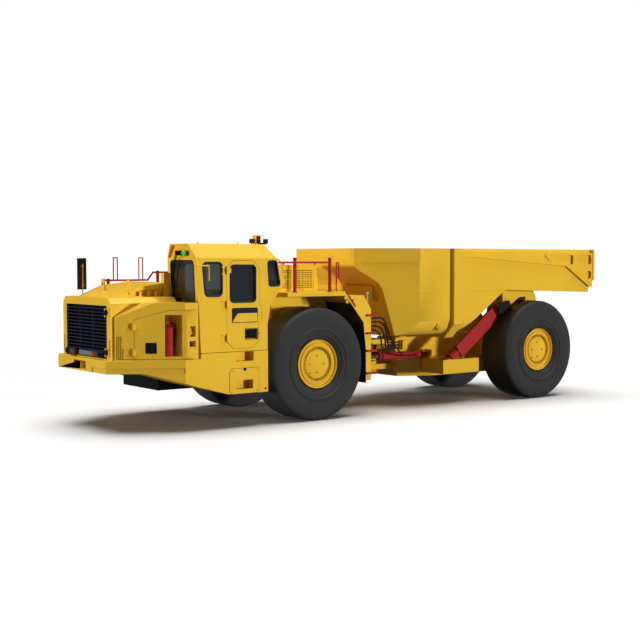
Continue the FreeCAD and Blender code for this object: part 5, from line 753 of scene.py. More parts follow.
def make_nose_bolts():
    """Six-sided heads: screws on the hood's top, and groups each side of the service door's front edge."""
    piece("hood_screws", FRONT, "yellow", [bolt(place, Z, *HOOD_SCREW) for place in HOOD_SCREWS])
    piece("frame_bolts", FRONT, "yellow", flank_bolts(FRAME_BOLT_COLUMNS, FRAME_BOLT_LEVELS))
    piece("door_bolts", BODY_OF["service_door"], "yellow", flank_bolts(DOOR_BOLT_COLUMNS, DOOR_BOLT_LEVELS))


PORT_START = along_flank(NOSE - 0.559)
PORT_END = along_flank(NOSE - 0.720)
PORT_DEPTH = -0.012
PORT_LOW = 1.314
PORT_HIGH = 1.493
PORT_BEZEL = [(0.010, 0.004), (0.010, 0.011), (-0.004, 0.011), (-0.004, 0.004)]
POCKET = SIDE - 0.090
LATCH_PLATE = (4.292, 1.600, 4.391, 1.732)
LATCH_PADDLE = [(4.312, 1.625), (4.350, 1.618), (4.376, 1.700), (4.338, 1.712)]
LATCH_PIN = [(0.012, 0.006), (0.012, 0.036), (0.009, 0.040)]
LATCH_PIN_PLACE = (4.330, POCKET, 1.668)
DOOR_STOP_PLACE = (4.3415, SIDE - 0.014, 1.4635)
BOTTLE_LOW, BOTTLE_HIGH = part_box("extinguisher")
BOTTLE_X = (BOTTLE_LOW.x + BOTTLE_HIGH.x) / 2
BOTTLE_Y = (BOTTLE_LOW.y + BOTTLE_HIGH.y) / 2
BOTTLE_COLLAR = [(0.020, 0.0), (0.024, 0.010), (0.024, 0.035), (0.014, 0.042)]
BOTTLE_COLLAR_LEVEL = 1.762
# Each lever: its line from the bottle's middle, and its radius.
BOTTLE_LEVERS = (
    ([(-0.01, 0.0, 1.803), (0.05, 0.015, 1.832), (0.10, 0.030, 1.834)], 0.007),
    ([(-0.01, 0.0, 1.797), (0.05, 0.015, 1.803), (0.09, 0.030, 1.795)], 0.006),
)
BOTTLE_ROUTE = [(-0.014, 0.022, 1.790), (-0.050, 0.028, 1.806), (-0.084, 0.030, 1.790),
                (-0.098, 0.030, 1.735), (-0.098, 0.026, 1.650), (-0.094, 0.022, 1.560),
                (-0.091, 0.016, 1.480), (-0.090, 0.010, 1.430)]
BOTTLE_HOSE_RADIUS = 0.0085


def by_bottle(places):
    """Places given from the bottle's upright middle line, in the row frame."""
    return [(BOTTLE_X + x, BOTTLE_Y + y, z) for x, y, z in places]


def make_port():
    """Dark port in the service door: a plate, an oval eye and a bezel carried round it."""
    body = BODY_OF["service_door"]
    board = Board(FLANK.at((0, 0), PORT_DEPTH), FLANK.across, FLANK.up, FLANK.out)
    sides = (PORT_START + 0.004, PORT_LOW, PORT_END - 0.004, PORT_HIGH)
    back = plate(board, sides, 0.018, 0.0, 0.005, 0.002)
    outline = ellipse((PORT_START + PORT_END) / 2, (PORT_LOW + PORT_HIGH) / 2, 0.055, 0.034)
    eye = slab(board, outline, 0.004, 0.012, 0.003)
    frame_sides = oblong(PORT_START + 0.018, PORT_LOW + 0.014, PORT_END - 0.018, PORT_HIGH - 0.014)
    bezel = moulding(board, rounded(frame_sides, 0.020), PORT_BEZEL)
    dark_piece("door_port", body, [back, eye], [bezel])


def make_door_fittings():
    """The service door's pocket latch, made of plates, and its stop button; and the bottle's head,
    a turned collar with two carried levers, and its hose."""
    body = BODY_OF["service_door"]
    board = side_board(POCKET)
    latch = [plate(board, LATCH_PLATE, 0.010, 0.0, 0.006, 0.002),
             slab(board, rounded(LATCH_PADDLE, 0.008), 0.006, 0.040, 0.006)]
    piece("door_latch", body, "yellow", latch)
    piece("door_latch_pin", body, "grille", [turned(LATCH_PIN, LATCH_PIN_PLACE, Y, 20)])
    stop_plate(body, "door", DOOR_STOP_PLACE, 0.046)
    head = [turned(BOTTLE_COLLAR, (BOTTLE_X, BOTTLE_Y, BOTTLE_COLLAR_LEVEL), Z, 20)]
    head += [carried(by_bottle(line), radius, 8) for line, radius in BOTTLE_LEVERS]
    dark_piece("bottle_head", body, head)
    make_hose("bottle_hose", body, by_bottle(BOTTLE_ROUTE), BOTTLE_HOSE_RADIUS)


def stop_plate(body, name, centre, reach):
    """A square black plate with a red mushroom button, its section turned about Y."""
    back = plate(Board(centre, X, Z, Y), centred(reach, reach), 0.006, 0.0, 0.005, 0.002)
    piece("stop_plate_" + name, body, "grille", [back])
    size = reach * 0.62
    button = [(size * 0.6, 0.004), (size * 0.6, 0.010), (size, 0.012), (size, 0.018), (size * 0.8, 0.024),
              (size * 0.35, 0.026)]
    piece("stop_button_" + name, body, "lamp_red", [turned(button, centre, Y, 28)], material=RED_LENS)


# ------------------------------------------------------------------ cab
SEAL_PROFILE = [(0.014, -0.012), (0.014, 0.003), (0.009, 0.008), (-0.010, 0.008), (-0.017, 0.002),
                (-0.019, -0.012)]
SCREEN_LEAN = 0.073 / 1.555
SCREEN_BOARD = Board((CAB_FRONT, 0, FLOOR), Y, (SCREEN_LEAN, 0, 1), (1, 0, -SCREEN_LEAN))
CAB_FAR_SIDE = SIDE - 0.955
WINDOW_CORNER = 0.07
REAR_WINDOW_CORNER = 0.045
# Side windows are (back from the cab's front or rear, up from its floor).
QUARTER_WINDOW = [(-0.412, 0.932), (-0.088, 0.932), (-0.035, 1.484), (-0.412, 1.484)]
REAR_WINDOW = [(-0.261, 1.087), (-0.036, 1.087), (-0.008, 1.511), (-0.183, 1.511)]
FAR_WINDOW = oblong(-1.100, 0.830, -0.250, 1.480)
SCREEN_WINDOW = oblong(CAB_FAR_SIDE + 0.100, 0.640, SIDE - 0.110, 1.515)


def make_window_seals():
    """Rubber mouldings: one profile carried round every pane's outline."""
    front = (CAB_FRONT, FLOOR)
    rear = (CAB_REAR, FLOOR)
    panes = [(SIDE_BOARD, np.array(QUARTER_WINDOW) + front, WINDOW_CORNER),
             (SIDE_BOARD, np.array(REAR_WINDOW) + rear, REAR_WINDOW_CORNER),
             (side_board(CAB_FAR_SIDE, -1), FAR_WINDOW + front, WINDOW_CORNER),
             (SCREEN_BOARD, SCREEN_WINDOW, WINDOW_CORNER)]
    loops = [moulding(board, rounded(corners, radius, 8), SEAL_PROFILE) for board, corners, radius in panes]
    piece("cab_window_seals", FRONT, "rubber", looped=loops)
    low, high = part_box("cab_door_glass")
    pane = rounded(oblong(low.x, low.z, high.x, high.z), WINDOW_CORNER, 8)
    loop = moulding(SIDE_BOARD, pane, SEAL_PROFILE)
    piece("door_window_seal", BODY_OF["cab_door"], "rubber", looped=[loop])


# Wiper lines are (across, up) on the windscreen's board, with their heights over it.
WIPER_ROOTS = ((0.990, 1.640), (0.945, 1.635))
WIPER_TIPS = ((0.792, 1.270), (0.752, 1.265))
WIPER_ARM_HEIGHTS = (0.050, 0.052, 0.042)
WIPER_BLADE = ([(0.742, 1.46), (0.735, 1.27), (0.752, 1.05), (0.775, 0.86)], [0.026, 0.036, 0.034, 0.024])
WIPER_HOOK = ([(0.985, 1.46), (0.930, 1.25), (0.885, 1.08), (0.850, 1.16)], [0.020, 0.024, 0.026, 0.024])
WIPER_HUB = [(0.020, 0.0), (0.020, 0.030), (0.014, 0.036)]
WIPER_BOX = (0.880, 1.605, 1.040, 1.685)


def make_wipers():
    """Two parallel arms from under the visor and their blade down the windscreen: carried bars."""
    shells = []
    for root, tip in zip(WIPER_ROOTS, WIPER_TIPS):
        knee = (root[0] - 0.03, root[1] - 0.06)
        shells.append(carried(SCREEN_BOARD.at([root, knee, tip], WIPER_ARM_HEIGHTS), 0.0085, 8))
    shells.append(carried(SCREEN_BOARD.at(*WIPER_BLADE), 0.009, 8))
    shells.append(carried(SCREEN_BOARD.at(*WIPER_HOOK), 0.008, 8))
    shells += [turned(WIPER_HUB, SCREEN_BOARD.at(root, 0.020), X, 20) for root in WIPER_ROOTS]
    shells.append(plate(SCREEN_BOARD, WIPER_BOX, 0.012, -0.002, 0.032, 0.006))
    dark_piece("wipers", FRONT, shells)


# Each dome: its name, its place across, its radius and its finish.
VISOR_LAMPS = (("green", 1.168, 0.040, GREEN_LENS), ("red", 1.085, 0.032, RED_LENS))
VISOR_LAMP_LEVEL = 1.640


def make_visor_lamps():
    """A green and a red dome under the visor: (radius cos t, 1.2 radius sin t) turned about X."""
    turn = np.linspace(0, np.pi / 2 - 0.02, 8)
    for name, side, radius, material in VISOR_LAMPS:
        dome = np.stack([radius * np.cos(turn), 0.012 + radius * 1.2 * np.sin(turn)], 1)
        centre = SCREEN_BOARD.at((side, VISOR_LAMP_LEVEL))
        shell = turned(np.vstack([[(radius, 0.0)], dome]), centre, X, 24)
        piece("visor_lamp_" + name, FRONT, "lamp_red", [shell], material=material)
        collar = [(radius + 0.008, -0.004), (radius + 0.008, 0.010), (radius + 0.001, 0.012)]
        piece("visor_collar_" + name, FRONT, "grille", [turned(collar, centre, X, 24)])


ROOF_STUD = [(0.030, 0.0), (0.030, 0.006), (0.018, 0.012), (0.017, 0.026), (0.010, 0.032)]
ROOF_STUD_PLACES = [(x, 1.18, ROOF - 0.001) for x in (4.027, 3.235)]


def make_roof_studs():
    """Two flanged studs on the cab's roof: one profile turned about Z."""
    piece("roof_studs", FRONT, "yellow", [turned(ROOF_STUD, place, Z, 20) for place in ROOF_STUD_PLACES])


def make_beacon():
    """Ribbed red lens: radius (0.94 + 0.06 |sin|) up its height, closed by a shallow cone."""
    low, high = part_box("beacon")
    centre = ((low.x + high.x) / 2, (low.y + high.y) / 2, low.z)
    height = high.z - low.z
    radius = (high.x - low.x) / 2
    levels = np.linspace(0, 0.86, 13)
    ribs = radius * (0.94 + 0.06 * np.abs(np.sin(levels * 22)))
    crown = [(radius * 0.7, height * 0.97), (0.001, height)]
    profile = np.vstack([np.stack([ribs, levels * height], 1), crown])
    lens_shell = turned(profile, centre, Z, 40)
    obj = piece("beacon_lens", BODY_OF["beacon"], "lamp_red", [lens_shell], material=RED_LENS)
    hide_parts("beacon")


PLATE_LOW = CAB_FRONT - 1.120
PLATE_HIGH = CAB_FRONT - 0.600
PLATE_BOTTOM = 1.778
PLATE_TOP = 2.029
# The yellow panel's corners, with their radius; its right side slants.
PLATE_PANEL = [(PLATE_LOW + 0.012, PLATE_BOTTOM + 0.012), (PLATE_HIGH - 0.016, PLATE_BOTTOM + 0.012),
               (PLATE_HIGH - 0.030, PLATE_BOTTOM + 0.045), (PLATE_HIGH - 0.115, PLATE_TOP - 0.092),
               (PLATE_LOW + 0.012, PLATE_TOP - 0.092)]
PLATE_PANEL_CORNERS = [0.020, 0.012, 0.010, 0.012, 0.006]


def make_door_plate():
    """The blank name plate: a navy slab with a slanted yellow one on it."""
    body = BODY_OF["cab_door"]
    field_outline = rounded(oblong(PLATE_LOW, PLATE_BOTTOM, PLATE_HIGH, PLATE_TOP), 0.028, 6)
    field = slab(SIDE_BOARD, field_outline, -0.001, 0.003)
    piece("door_plate", body, "grille", [field], material=NAVY_PAINT)
    panel = slab(SIDE_BOARD, rounded(PLATE_PANEL, PLATE_PANEL_CORNERS), 0.002, 0.0045)
    piece("door_plate_panel", body, "yellow", [panel])


HANDLE = (3.076, 1.503, 3.316, 1.673)
HANDLE_RECESS = 0.030
HANDLE_FRAME = [(0.010, -0.004), (0.010, 0.003), (0.000, 0.003), (0.000, -0.004)]
HANDLE_BACK = (HANDLE[0] + 0.006, 1.510, HANDLE[2] - 0.006, 1.666)
HANDLE_PADDLE = (HANDLE[0] + 0.030, 1.560, HANDLE[2] - 0.060, 1.622)
HANDLE_STEM = (HANDLE[2] - 0.085, 1.572, HANDLE[2] - 0.062, 1.610)
DOOR_LOCK = [(0.014, 0.0), (0.014, 0.005), (0.010, 0.007)]
DOOR_LOCK_PLACE = (3.045, SIDE, 1.588)


def make_cab_door_fittings():
    """Handle in its recess, and the lock: plates on the recess's board, and a turned barrel."""
    body = BODY_OF["cab_door"]
    board = side_board(SIDE - HANDLE_RECESS)
    shells = [plate(board, HANDLE_BACK, 0.008, 0.0, 0.002),
              plate(board, HANDLE_PADDLE, 0.016, 0.006, 0.024, 0.007),
              plate(board, HANDLE_STEM, 0.008, 0.0, 0.012)]
    loop = moulding(SIDE_BOARD, rounded(oblong(*HANDLE), 0.006), HANDLE_FRAME)
    dark_piece("door_handle", body, shells, [loop])
    piece("door_lock", body, "chrome", [turned(DOOR_LOCK, DOOR_LOCK_PLACE, Y, 20)])


DESK = [(3.78, FLOOR + 0.05), (4.06, FLOOR + 0.05), (4.08, 2.02), (3.98, 2.08), (3.84, 1.98)]
DESK_START = 0.66
DESK_WIDTH = 0.74
SHELF = (3.02, 2.05, 3.40, 2.30)
SHELF_START = 0.64
SHELF_WIDTH = 0.16
STEER_HUB = np.array((3.80, 1.05, 2.17))
STEER_AXIS = unit((-0.75, 0, 0.66))
STEER_RADIUS = 0.19
STEER_BAR = 0.014
STEER_SPOKES = (0.3, 2.4, 4.5)
STEER_BOSS = [(0.045, -0.01), (0.045, 0.018), (0.034, 0.026)]


def make_cab_inside():
    """Console, shelf and steering wheel, seen through the glass: slabs, and a ring with three spokes."""
    desk = slab(side_board(DESK_START), rounded(DESK, 0.03), 0.0, DESK_WIDTH, 0.02)
    shelf = plate(side_board(SHELF_START), SHELF, 0.02, 0.0, SHELF_WIDTH, 0.02)
    piece("cab_console", FRONT, "grille", [desk, shelf], material=GREY_PAINT)
    side = unit(np.cross(STEER_AXIS, Y))
    other = np.cross(STEER_AXIS, side)
    rim = ring_tube(STEER_HUB, STEER_AXIS, side, STEER_RADIUS, STEER_BAR, 48)
    ends = [STEER_HUB + STEER_RADIUS * (math.cos(turn) * side + math.sin(turn) * other)
            for turn in STEER_SPOKES]
    shells = [carried([STEER_HUB, end], 0.011, 8) for end in ends]
    shells.append(carried([STEER_HUB, STEER_HUB - 0.22 * STEER_AXIS], 0.028, 14))
    shells.append(turned(STEER_BOSS, STEER_HUB, STEER_AXIS, 24))
    dark_piece("steering_wheel", FRONT, shells, [rim])


# ------------------------------------------------------------------ deck and fender
RAIL_POSTS = (FRONT_AXLE + 0.483, FRONT_AXLE - 0.279)
RAIL_SIDE = SIDE - 0.035
RAIL_TOP = 2.856
POST_FLANGE = [(0.052, 0.0), (0.052, 0.010), (0.048, 0.012)]
POST_CAP = [(0.0305, 0.0), (0.033, 0.001), (0.033, 0.008), (0.026, 0.014)]
POST_SCREW = (0.006, 0.006)
POST_SCREW_PLACES = [(0.0360 * a, 0.0360 * b - 0.0054, 0) for a in (-1, 1) for b in (-0.6, 1)]


def make_post_feet():
    """Foot of each left-hand rail post, a turned flange with four screws, and the turned cap on its top."""
    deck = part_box("fender_l")[1].z
    shells = []
    for x in RAIL_POSTS:
        shells.append(turned(POST_FLANGE, (x, RAIL_SIDE - 0.006, deck), Z, 28))
        shells.append(turned(POST_CAP, (x, RAIL_SIDE, RAIL_TOP), Z, 28))
        screw = bolt((x, RAIL_SIDE, deck + POST_FLANGE[1][1]), Z, *POST_SCREW)
        shells.append(copies(screw, POST_SCREW_PLACES))
    piece("post_feet", FRONT, "red", shells)


STAY_PLACE = (0.503, 1.330, 1.930)
STAY_ROD = [(0.021, 0.0), (0.021, 0.300)]
STAY_COLLAR = [(0.028, 0.245), (0.028, 0.295), (0.022, 0.300)]
FENDER_HOLE_SHADE = [(0.019, -0.002), (0.019, 0.0015)]
FENDER_HOLE_PLACE = (1.010, SIDE, 2.105)
CLIP_PLACES = ((1.155, 2.125), (1.120, 2.055))


def make_fender_fittings():
    """The turned chrome stay behind the fender, a dark disc of painted shade in the hole in its plate, and
    the deck's two edge clips.
    """
    stay = [turned(profile, STAY_PLACE, Z, 24) for profile in (STAY_ROD, STAY_COLLAR)]
    piece("fender_stay", FRONT, "chrome", stay)
    hole = turned(FENDER_HOLE_SHADE, FENDER_HOLE_PLACE, Y, 24)
    dark_piece("fender_hole_shade", FRONT, [hole])
    clips = [plate(SIDE_BOARD, (x, z, x + 0.055, z + 0.050), 0.006, -0.004, 0.016, 0.004)
             for x, z in CLIP_PLACES]
    piece("fender_clips", FRONT, "yellow", clips)


GUARD_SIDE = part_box("guard_box")[1].y
GUARD_PANEL = GUARD_SIDE - 0.008
GUARD_STEP = 0.034
GUARD_COLUMNS = np.arange(1.385, 2.250, GUARD_STEP)
GUARD_ROWS = np.arange(2.330, 2.640, GUARD_STEP)
GUARD_HOLE_SHADE = [(0.0115, -0.0006), (0.0115, 0.0006)]
GUARD_UPRIGHTS = (1.560, 1.820, 2.060)
GUARD_RAIL = (1.350, 2.470, 2.270, 2.484)
GUARD_SCREW = (0.010, 0.007)
GUARD_SCREW_PLACES = [(x, GUARD_SIDE, z) for x in np.linspace(1.32, 2.30, 5) for z in (2.268, 2.698)]


def make_guard_details():
    """Perforated field of the guard box: dark discs of painted shade in the holes, in rows and columns,
    with the bars over them.
    """
    grid = np.stack(np.meshgrid(GUARD_COLUMNS, GUARD_ROWS), -1).reshape(-1, 2)
    hole = turned(GUARD_HOLE_SHADE, (0, GUARD_PANEL, 0), Y, 8)
    dark_piece("guard_hole_shade", FRONT, [copies(hole, grid[:, :1] * X + grid[:, 1:] * Z)])
    board = side_board(GUARD_PANEL)
    bars = [plate(board, (x, 2.300, x + 0.018, 2.651), 0.003, -0.001, 0.007, 0.002) for x in GUARD_UPRIGHTS]
    bars.append(plate(board, GUARD_RAIL, 0.003, -0.001, 0.006, 0.002))
    piece("guard_bars", FRONT, "yellow", bars)
    piece("guard_screws", FRONT, "yellow", [bolt(place, Y, *GUARD_SCREW) for place in GUARD_SCREW_PLACES])


RUNG_LEVELS = (0.791, 1.199, 1.519, 1.845)
RUNG_SIDE = 1.515
TOOTH = centred(0.004, 0.030)
TOOTH_STEP = 0.022
TOOTH_MARGIN = 0.012


def make_rung_treads():
    """Serrated tread bars on the four steps of each side: a tooth repeated at even steps."""
    low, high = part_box("step_rungs")
    places = np.arange(low.x + TOOTH_MARGIN, high.x - TOOTH_MARGIN, TOOTH_STEP)
    shells = []
    for level in RUNG_LEVELS:
        tooth = plate(Board((0, 0, level), X, Y, Z), TOOTH, 0.003, -0.002, 0.003, steps=3)
        shells += [copies(tooth, places[:, None] * X + side * RUNG_SIDE * Y) for side in (1, -1)]
    piece("rung_treads", FRONT, "red", shells)


# ------------------------------------------------------------------ hitch and hoses
FENDER_BACK = 0.727
FENDER_BACK_LEVEL = 1.500
FENDER_LEAN = 0.190
HOSE_RADIUS = 0.016
FITTING_PLATE = 0.020
FITTING_PLATE_SIDES = (1.070, -0.035, 1.315, 0.300)


def plate_face(height):
    """How far forward the fitting plate's face lies behind the leaning fender at that height."""
    return FENDER_BACK + (height - FENDER_BACK_LEVEL) * FENDER_LEAN - FITTING_PLATE


HOSE_ROUTES = [
    [(plate_face(1.735), 1.255, 1.740), (0.560, 1.255, 1.744), (0.330, 1.255, 1.752), (0.170, 1.255, 1.760),
     (0.055, 1.250, 1.740), (0.000, 1.235, 1.660), (-0.085, 1.190, 1.540), (-0.260, 1.090, 1.350),
     (-0.520, 0.930, 1.175), (-0.740, 0.800, 1.045), (-0.930, 0.690, 0.968), (-1.080, 0.620, 0.950),
     (-1.210, 0.600, 0.950), (-1.350, 0.592, 0.950)],
    [(plate_face(1.665), 1.205, 1.668), (0.560, 1.205, 1.672), (0.330, 1.205, 1.680), (0.170, 1.205, 1.685),
     (0.040, 1.200, 1.660), (-0.035, 1.185, 1.580), (-0.120, 1.120, 1.460), (-0.270, 0.980, 1.310),
     (-0.450, 0.800, 1.195), (-0.640, 0.610, 1.180), (-0.830, 0.450, 1.190), (-1.020, 0.335, 1.195),
     (-1.175, 0.303, 1.195)],
    [(plate_face(1.590), 1.165, 1.594), (0.560, 1.165, 1.598), (0.350, 1.165, 1.605), (0.190, 1.165, 1.605),
     (0.060, 1.160, 1.570), (-0.040, 1.130, 1.480), (-0.190, 1.010, 1.330), (-0.330, 0.850, 1.230),
     (-0.480, 0.690, 1.150), (-0.660, 0.550, 1.130), (-0.850, 0.430, 1.135), (-1.030, 0.330, 1.140),
     (-1.175, 0.303, 1.140)],
    [(plate_face(1.520), 1.125, 1.524), (0.560, 1.125, 1.528), (0.350, 1.125, 1.535), (0.190, 1.125, 1.530),
     (0.070, 1.110, 1.480), (-0.040, 1.050, 1.390), (-0.190, 0.900, 1.260), (-0.330, 0.740, 1.160),
     (-0.480, 0.610, 1.095), (-0.660, 0.490, 1.080), (-0.850, 0.400, 1.085), (-1.030, 0.330, 1.085),
     (-1.175, 0.303, 1.085)],
]
# A place along each hose, past its straight run from the fitting plate.
HOSE_LEAVES_FRONT = 0.400
ADAPTOR = [(0.026, 0.0), (0.026, 0.024), (0.020, 0.028), (0.020, 0.070), (0.023, 0.072), (0.023, 0.125),
           (0.0165, 0.130)]
END_ADAPTOR = [(0.024, 0.0), (0.024, 0.030), (0.019, 0.034), (0.019, 0.055)]
END_ADAPTOR_BACK = 0.020 * X
NECK_SIDE = 0.280
NECK_BLOCK = (-1.320, 1.045, -1.193, 1.235)


def make_bulkhead():
    """Fitting plate on the fender's leaning back, with a six-sided turned adaptor at each hose."""
    board = Board((FENDER_BACK, 0, FENDER_BACK_LEVEL), Y, (FENDER_LEAN, 0, 1), (-1, 0, FENDER_LEAN))
    back = plate(board, FITTING_PLATE_SIDES, 0.02, -0.003, FITTING_PLATE, 0.004)
    piece("hose_bulkhead", FRONT, "yellow", [back])
    nuts = [turned(ADAPTOR, route[0], -X, 6) for route in HOSE_ROUTES]
    piece("hose_adaptors", FRONT, "chrome", nuts, material=CAST)


def spline_line(points):
    """Points along the smooth curve of order three that the route's points steer."""
    data = bpy.data.curves.new("route", "CURVE")
    data.dimensions = "3D"
    data.resolution_u = 12
    spline = data.splines.new("NURBS")
    spline.points.add(len(points) - 1)
    spline.points.foreach_set("co", np.hstack([np.asarray(points), np.ones((len(points), 1))]).ravel())
    spline.order_u = 3
    spline.use_endpoint_u = True
    obj = bpy.data.objects.new("route", data)
    mesh = bpy.data.meshes.new_from_object(obj)
    line = np.empty(len(mesh.vertices) * 3)
    mesh.vertices.foreach_get("co", line)
    bpy.data.objects.remove(obj)
    bpy.data.meshes.remove(mesh)
    return line.reshape(-1, 3)


def make_hose(name, body, route, radius):
    """A hose along the smooth curve of its route."""
    line = spline_line(route)
    obj = skinned(name, [carried(line, radius, 14)])
    obj.data.materials.append(HOSE)
    if body:
        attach(obj, body)
    return obj


def make_hoses():
    """Four hoses across the hitch along their routes, riding on neither unit."""
    for number, route in enumerate(HOSE_ROUTES, 1):
        obj = make_hose("hitch_hose_%d" % number, None, route, HOSE_RADIUS)
        (HOSE_LEAVES_FRONT,) + route[0][1:]
        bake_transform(obj)


def make_hose_block():
    """Plates where the hoses end, three at the hitch neck's block and one at the ram's port, each
    end with its six-sided turned adaptor."""
    nuts = [turned(END_ADAPTOR, route[-1] - END_ADAPTOR_BACK, X, 6) for route in HOSE_ROUTES]
    block = plate(side_board(NECK_SIDE), NECK_BLOCK, 0.012, -0.005, 0.085, 0.006)
    piece("hose_block", REAR, "yellow", nuts[1:] + [block])
    x, y, _ = HOSE_ROUTES[0][-1]
    port = plate(side_board(y), (x - 0.115, 0.915, x - 0.010, 0.990), 0.012, -0.030, 0.030, 0.006)
    piece("ram_port", BODY_OF["steer_barrel_l"], "red", [port, nuts[0]])


# ------------------------------------------------------------------ rams
HOIST_EYE = 0.085
STEER_EYE = 0.072
STEER_BACK_SIDE = 0.520
STEER_FRONT_SIDE = 0.420
# Each kind of ram: its barrel's radius and length.
BARRELS = (("hoist", 0.092, 1.740), ("steer", 0.070, 1.130))
# Rings on a barrel: (out from its wall, back from its mouth).
GLAND = [(0.001, 0.130), (0.010, 0.126), (0.010, 0.084), (0.002, 0.080)]
LIP = [(0.001, 0.060), (0.007, 0.056), (0.007, 0.012), (0.001, 0.008)]
GROOVE_SHADE = [(0.0005, 0.078), (0.0035, 0.077), (0.0035, 0.063), (0.0005, 0.062)]
# Screws and hole on the hoist ram's shield, the hole a dark disc of painted shade: (along the ram, up from
# it).
SHIELD_SCREW = (0.011, 0.008)
SHIELD_SCREW_PLACES = ((0.70, 0.03), (0.73, -0.03), (1.02, 0.115), (0.42, 0.115), (1.48, 0.10),
                       (0.42, -0.115), (1.48, -0.10))
SHIELD_HOLE_SHADE = [(0.016, -0.001), (0.016, 0.0012)]
SHIELD_HOLE_PLACE = (1.06, 0.085)


def ram_line(kind, name):
    """The ram's lower and upper pin in the row frame, from its barrel's and rod's boxes."""
    low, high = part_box("%s_barrel_%s" % (kind, name))
    rod_low, rod_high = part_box("%s_rod_%s" % (kind, name))
    if kind == "hoist":
        side = (rod_low.y + rod_high.y) / 2
        start = (high.x - HOIST_EYE, side, low.z + HOIST_EYE)
        end = (rod_low.x + HOIST_EYE, side, rod_high.z - HOIST_EYE)
    else:
        level = (low.z + high.z) / 2
        start = (low.x + STEER_EYE, math.copysign(STEER_BACK_SIDE, low.y + high.y), level)
        end = (rod_high.x - STEER_EYE, math.copysign(STEER_FRONT_SIDE, low.y + high.y), level)
    return np.array(start), np.array(end)


def ram_ring(profile, radius, length, start, way):
    """A ring turned about the ram's line, its profile given from the barrel's wall and mouth."""
    return turned([(radius + out, length - back) for out, back in profile], start, way, 40)


def make_ram_collars():
    """Gland ring and lip turned round the mouth of each barrel, and a dark ring of painted shade between
    them, standing for a groove.
    """
    for kind, radius, length in BARRELS:
        for name, _ in SIDES:
            start, end = ram_line(kind, name)
            way = unit(end - start)
            gland, lip, groove = [ram_ring(profile, radius, length, start, way)
                                  for profile in (GLAND, LIP, GROOVE_SHADE)]
            body = BODY_OF["%s_barrel_%s" % (kind, name)]
            piece("%s_gland_%s" % (kind, name), body, "red", [gland, lip])
            dark_piece("%s_groove_%s" % (kind, name), body, [groove])


def make_hoist_shield_details():
    """Screws of each hoist barrel's shield, and a dark disc of painted shade in its lifting hole, set along
    the ram's line.
    """
    for name, side in SIDES:
        start, end = ram_line("hoist", name)
        low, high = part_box("hoist_barrel_" + name)
        face = high.y if side > 0 else low.y
        out = Y * side
        way = unit(end - start)
        up = unit(np.cross(way, Y)) * math.copysign(1, np.cross(way, Y)[2])
        board = Board((start[0], face, start[2]), way, up, out)
        body = BODY_OF["hoist_barrel_" + name]
        screws = [bolt(board.at(place), out, *SHIELD_SCREW) for place in SHIELD_SCREW_PLACES]
        piece("shield_screws_" + name, body, "red", screws)
        hole = turned(SHIELD_HOLE_SHADE, board.at(SHIELD_HOLE_PLACE), out, 20)
        dark_piece("shield_hole_shade_" + name, body, [hole])


# ------------------------------------------------------------------ bed
PIN_COVER = [(0.074, 0.0), (0.074, 0.014), (0.066, 0.020), (0.050, 0.020), (0.046, 0.014), (0.001, 0.014)]
PIN_COVER_OUT = 0.110
PIN_SPOKE = centred(0.040, 0.007)
PIN_SPOKE_TURNS = 0.3 + np.arange(3) * np.pi / 3
RAIL_LUG_PLACE = (-4.115, 1.575, 2.905)
RAIL_LUG = [(-0.125, 0.030), (-0.010, -0.085), (0.130, 0.010), (0.060, 0.085), (-0.080, 0.070)]
RAIL_RING_PLACE = (-0.020, 0.014)
RAIL_RING = (0.038, 0.010)
# Weld seams along the flank: (x, z) of both ends.
SEAMS = (((-0.55, 2.238), (-1.40, 2.240)), ((-1.655, 2.240), (-3.10, 2.245)))
SEAM_RADIUS = 0.0055
BELLY_EYE_PLACE = (-1.085, 1.475, 1.555)
BELLY_EYE = (0.055, 0.014)
BELLY_LEG = (-0.040, -0.060, 0.010, 0.020)
FLANK_HANDLE = [(-0.170, 1.215, 2.415), (-0.170, 1.275, 2.300), (-0.330, 1.335, 2.275),
                (-0.330, 1.290, 2.400)]
RAIL_TAB = [(-1.735, 2.775), (-1.690, 2.720), (-1.665, 2.790), (-1.668, 2.850), (-1.735, 2.850)]
RAIL_TAB_SIDE = 1.555


def on_side(place, side):
    """A place given for the left side, mirrored to the right where side is -1."""
    return place[0], side * place[1], place[2]


def make_pin_cover(name, side):
    """Turned cover over the hoist rod's upper pin, with a star of three bars on its face."""
    out = Y * side
    pin = ram_line("hoist", name)[1] + PIN_COVER_OUT * out
    shells = [turned(PIN_COVER, pin, out, 36)]
    for turn in PIN_SPOKE_TURNS:
        along = math.cos(turn) * X + math.sin(turn) * Z
        up = math.cos(turn) * Z - math.sin(turn) * X
        board = Board(pin + out * 0.012, along, up, out)
        shells.append(plate(board, PIN_SPOKE, 0.005, 0.0, 0.010, 0.002, steps=3))
    piece("hoist_pin_cover_" + name, BED, "yellow", shells)


def make_rail_fittings(name, side):
    """Lug with five corners and its ring near the back of the top rail, and a tab under the rail."""
    out = Y * side
    board = Board(on_side(RAIL_LUG_PLACE, side), X, Z, out)
    lug = slab(board, rounded(RAIL_LUG, 0.012), -0.012, 0.021, 0.005)
    ring = ring_tube(board.at(RAIL_RING_PLACE, 0.014), out, X, *RAIL_RING)
    piece("rail_lug_" + name, BED, "yellow", [lug], [ring])
    tab = slab(side_board(side * RAIL_TAB_SIDE, side), rounded(RAIL_TAB, 0.008), -0.045, -0.028, 0.003)
    piece("rail_tab_" + name, BED, "yellow", [tab])


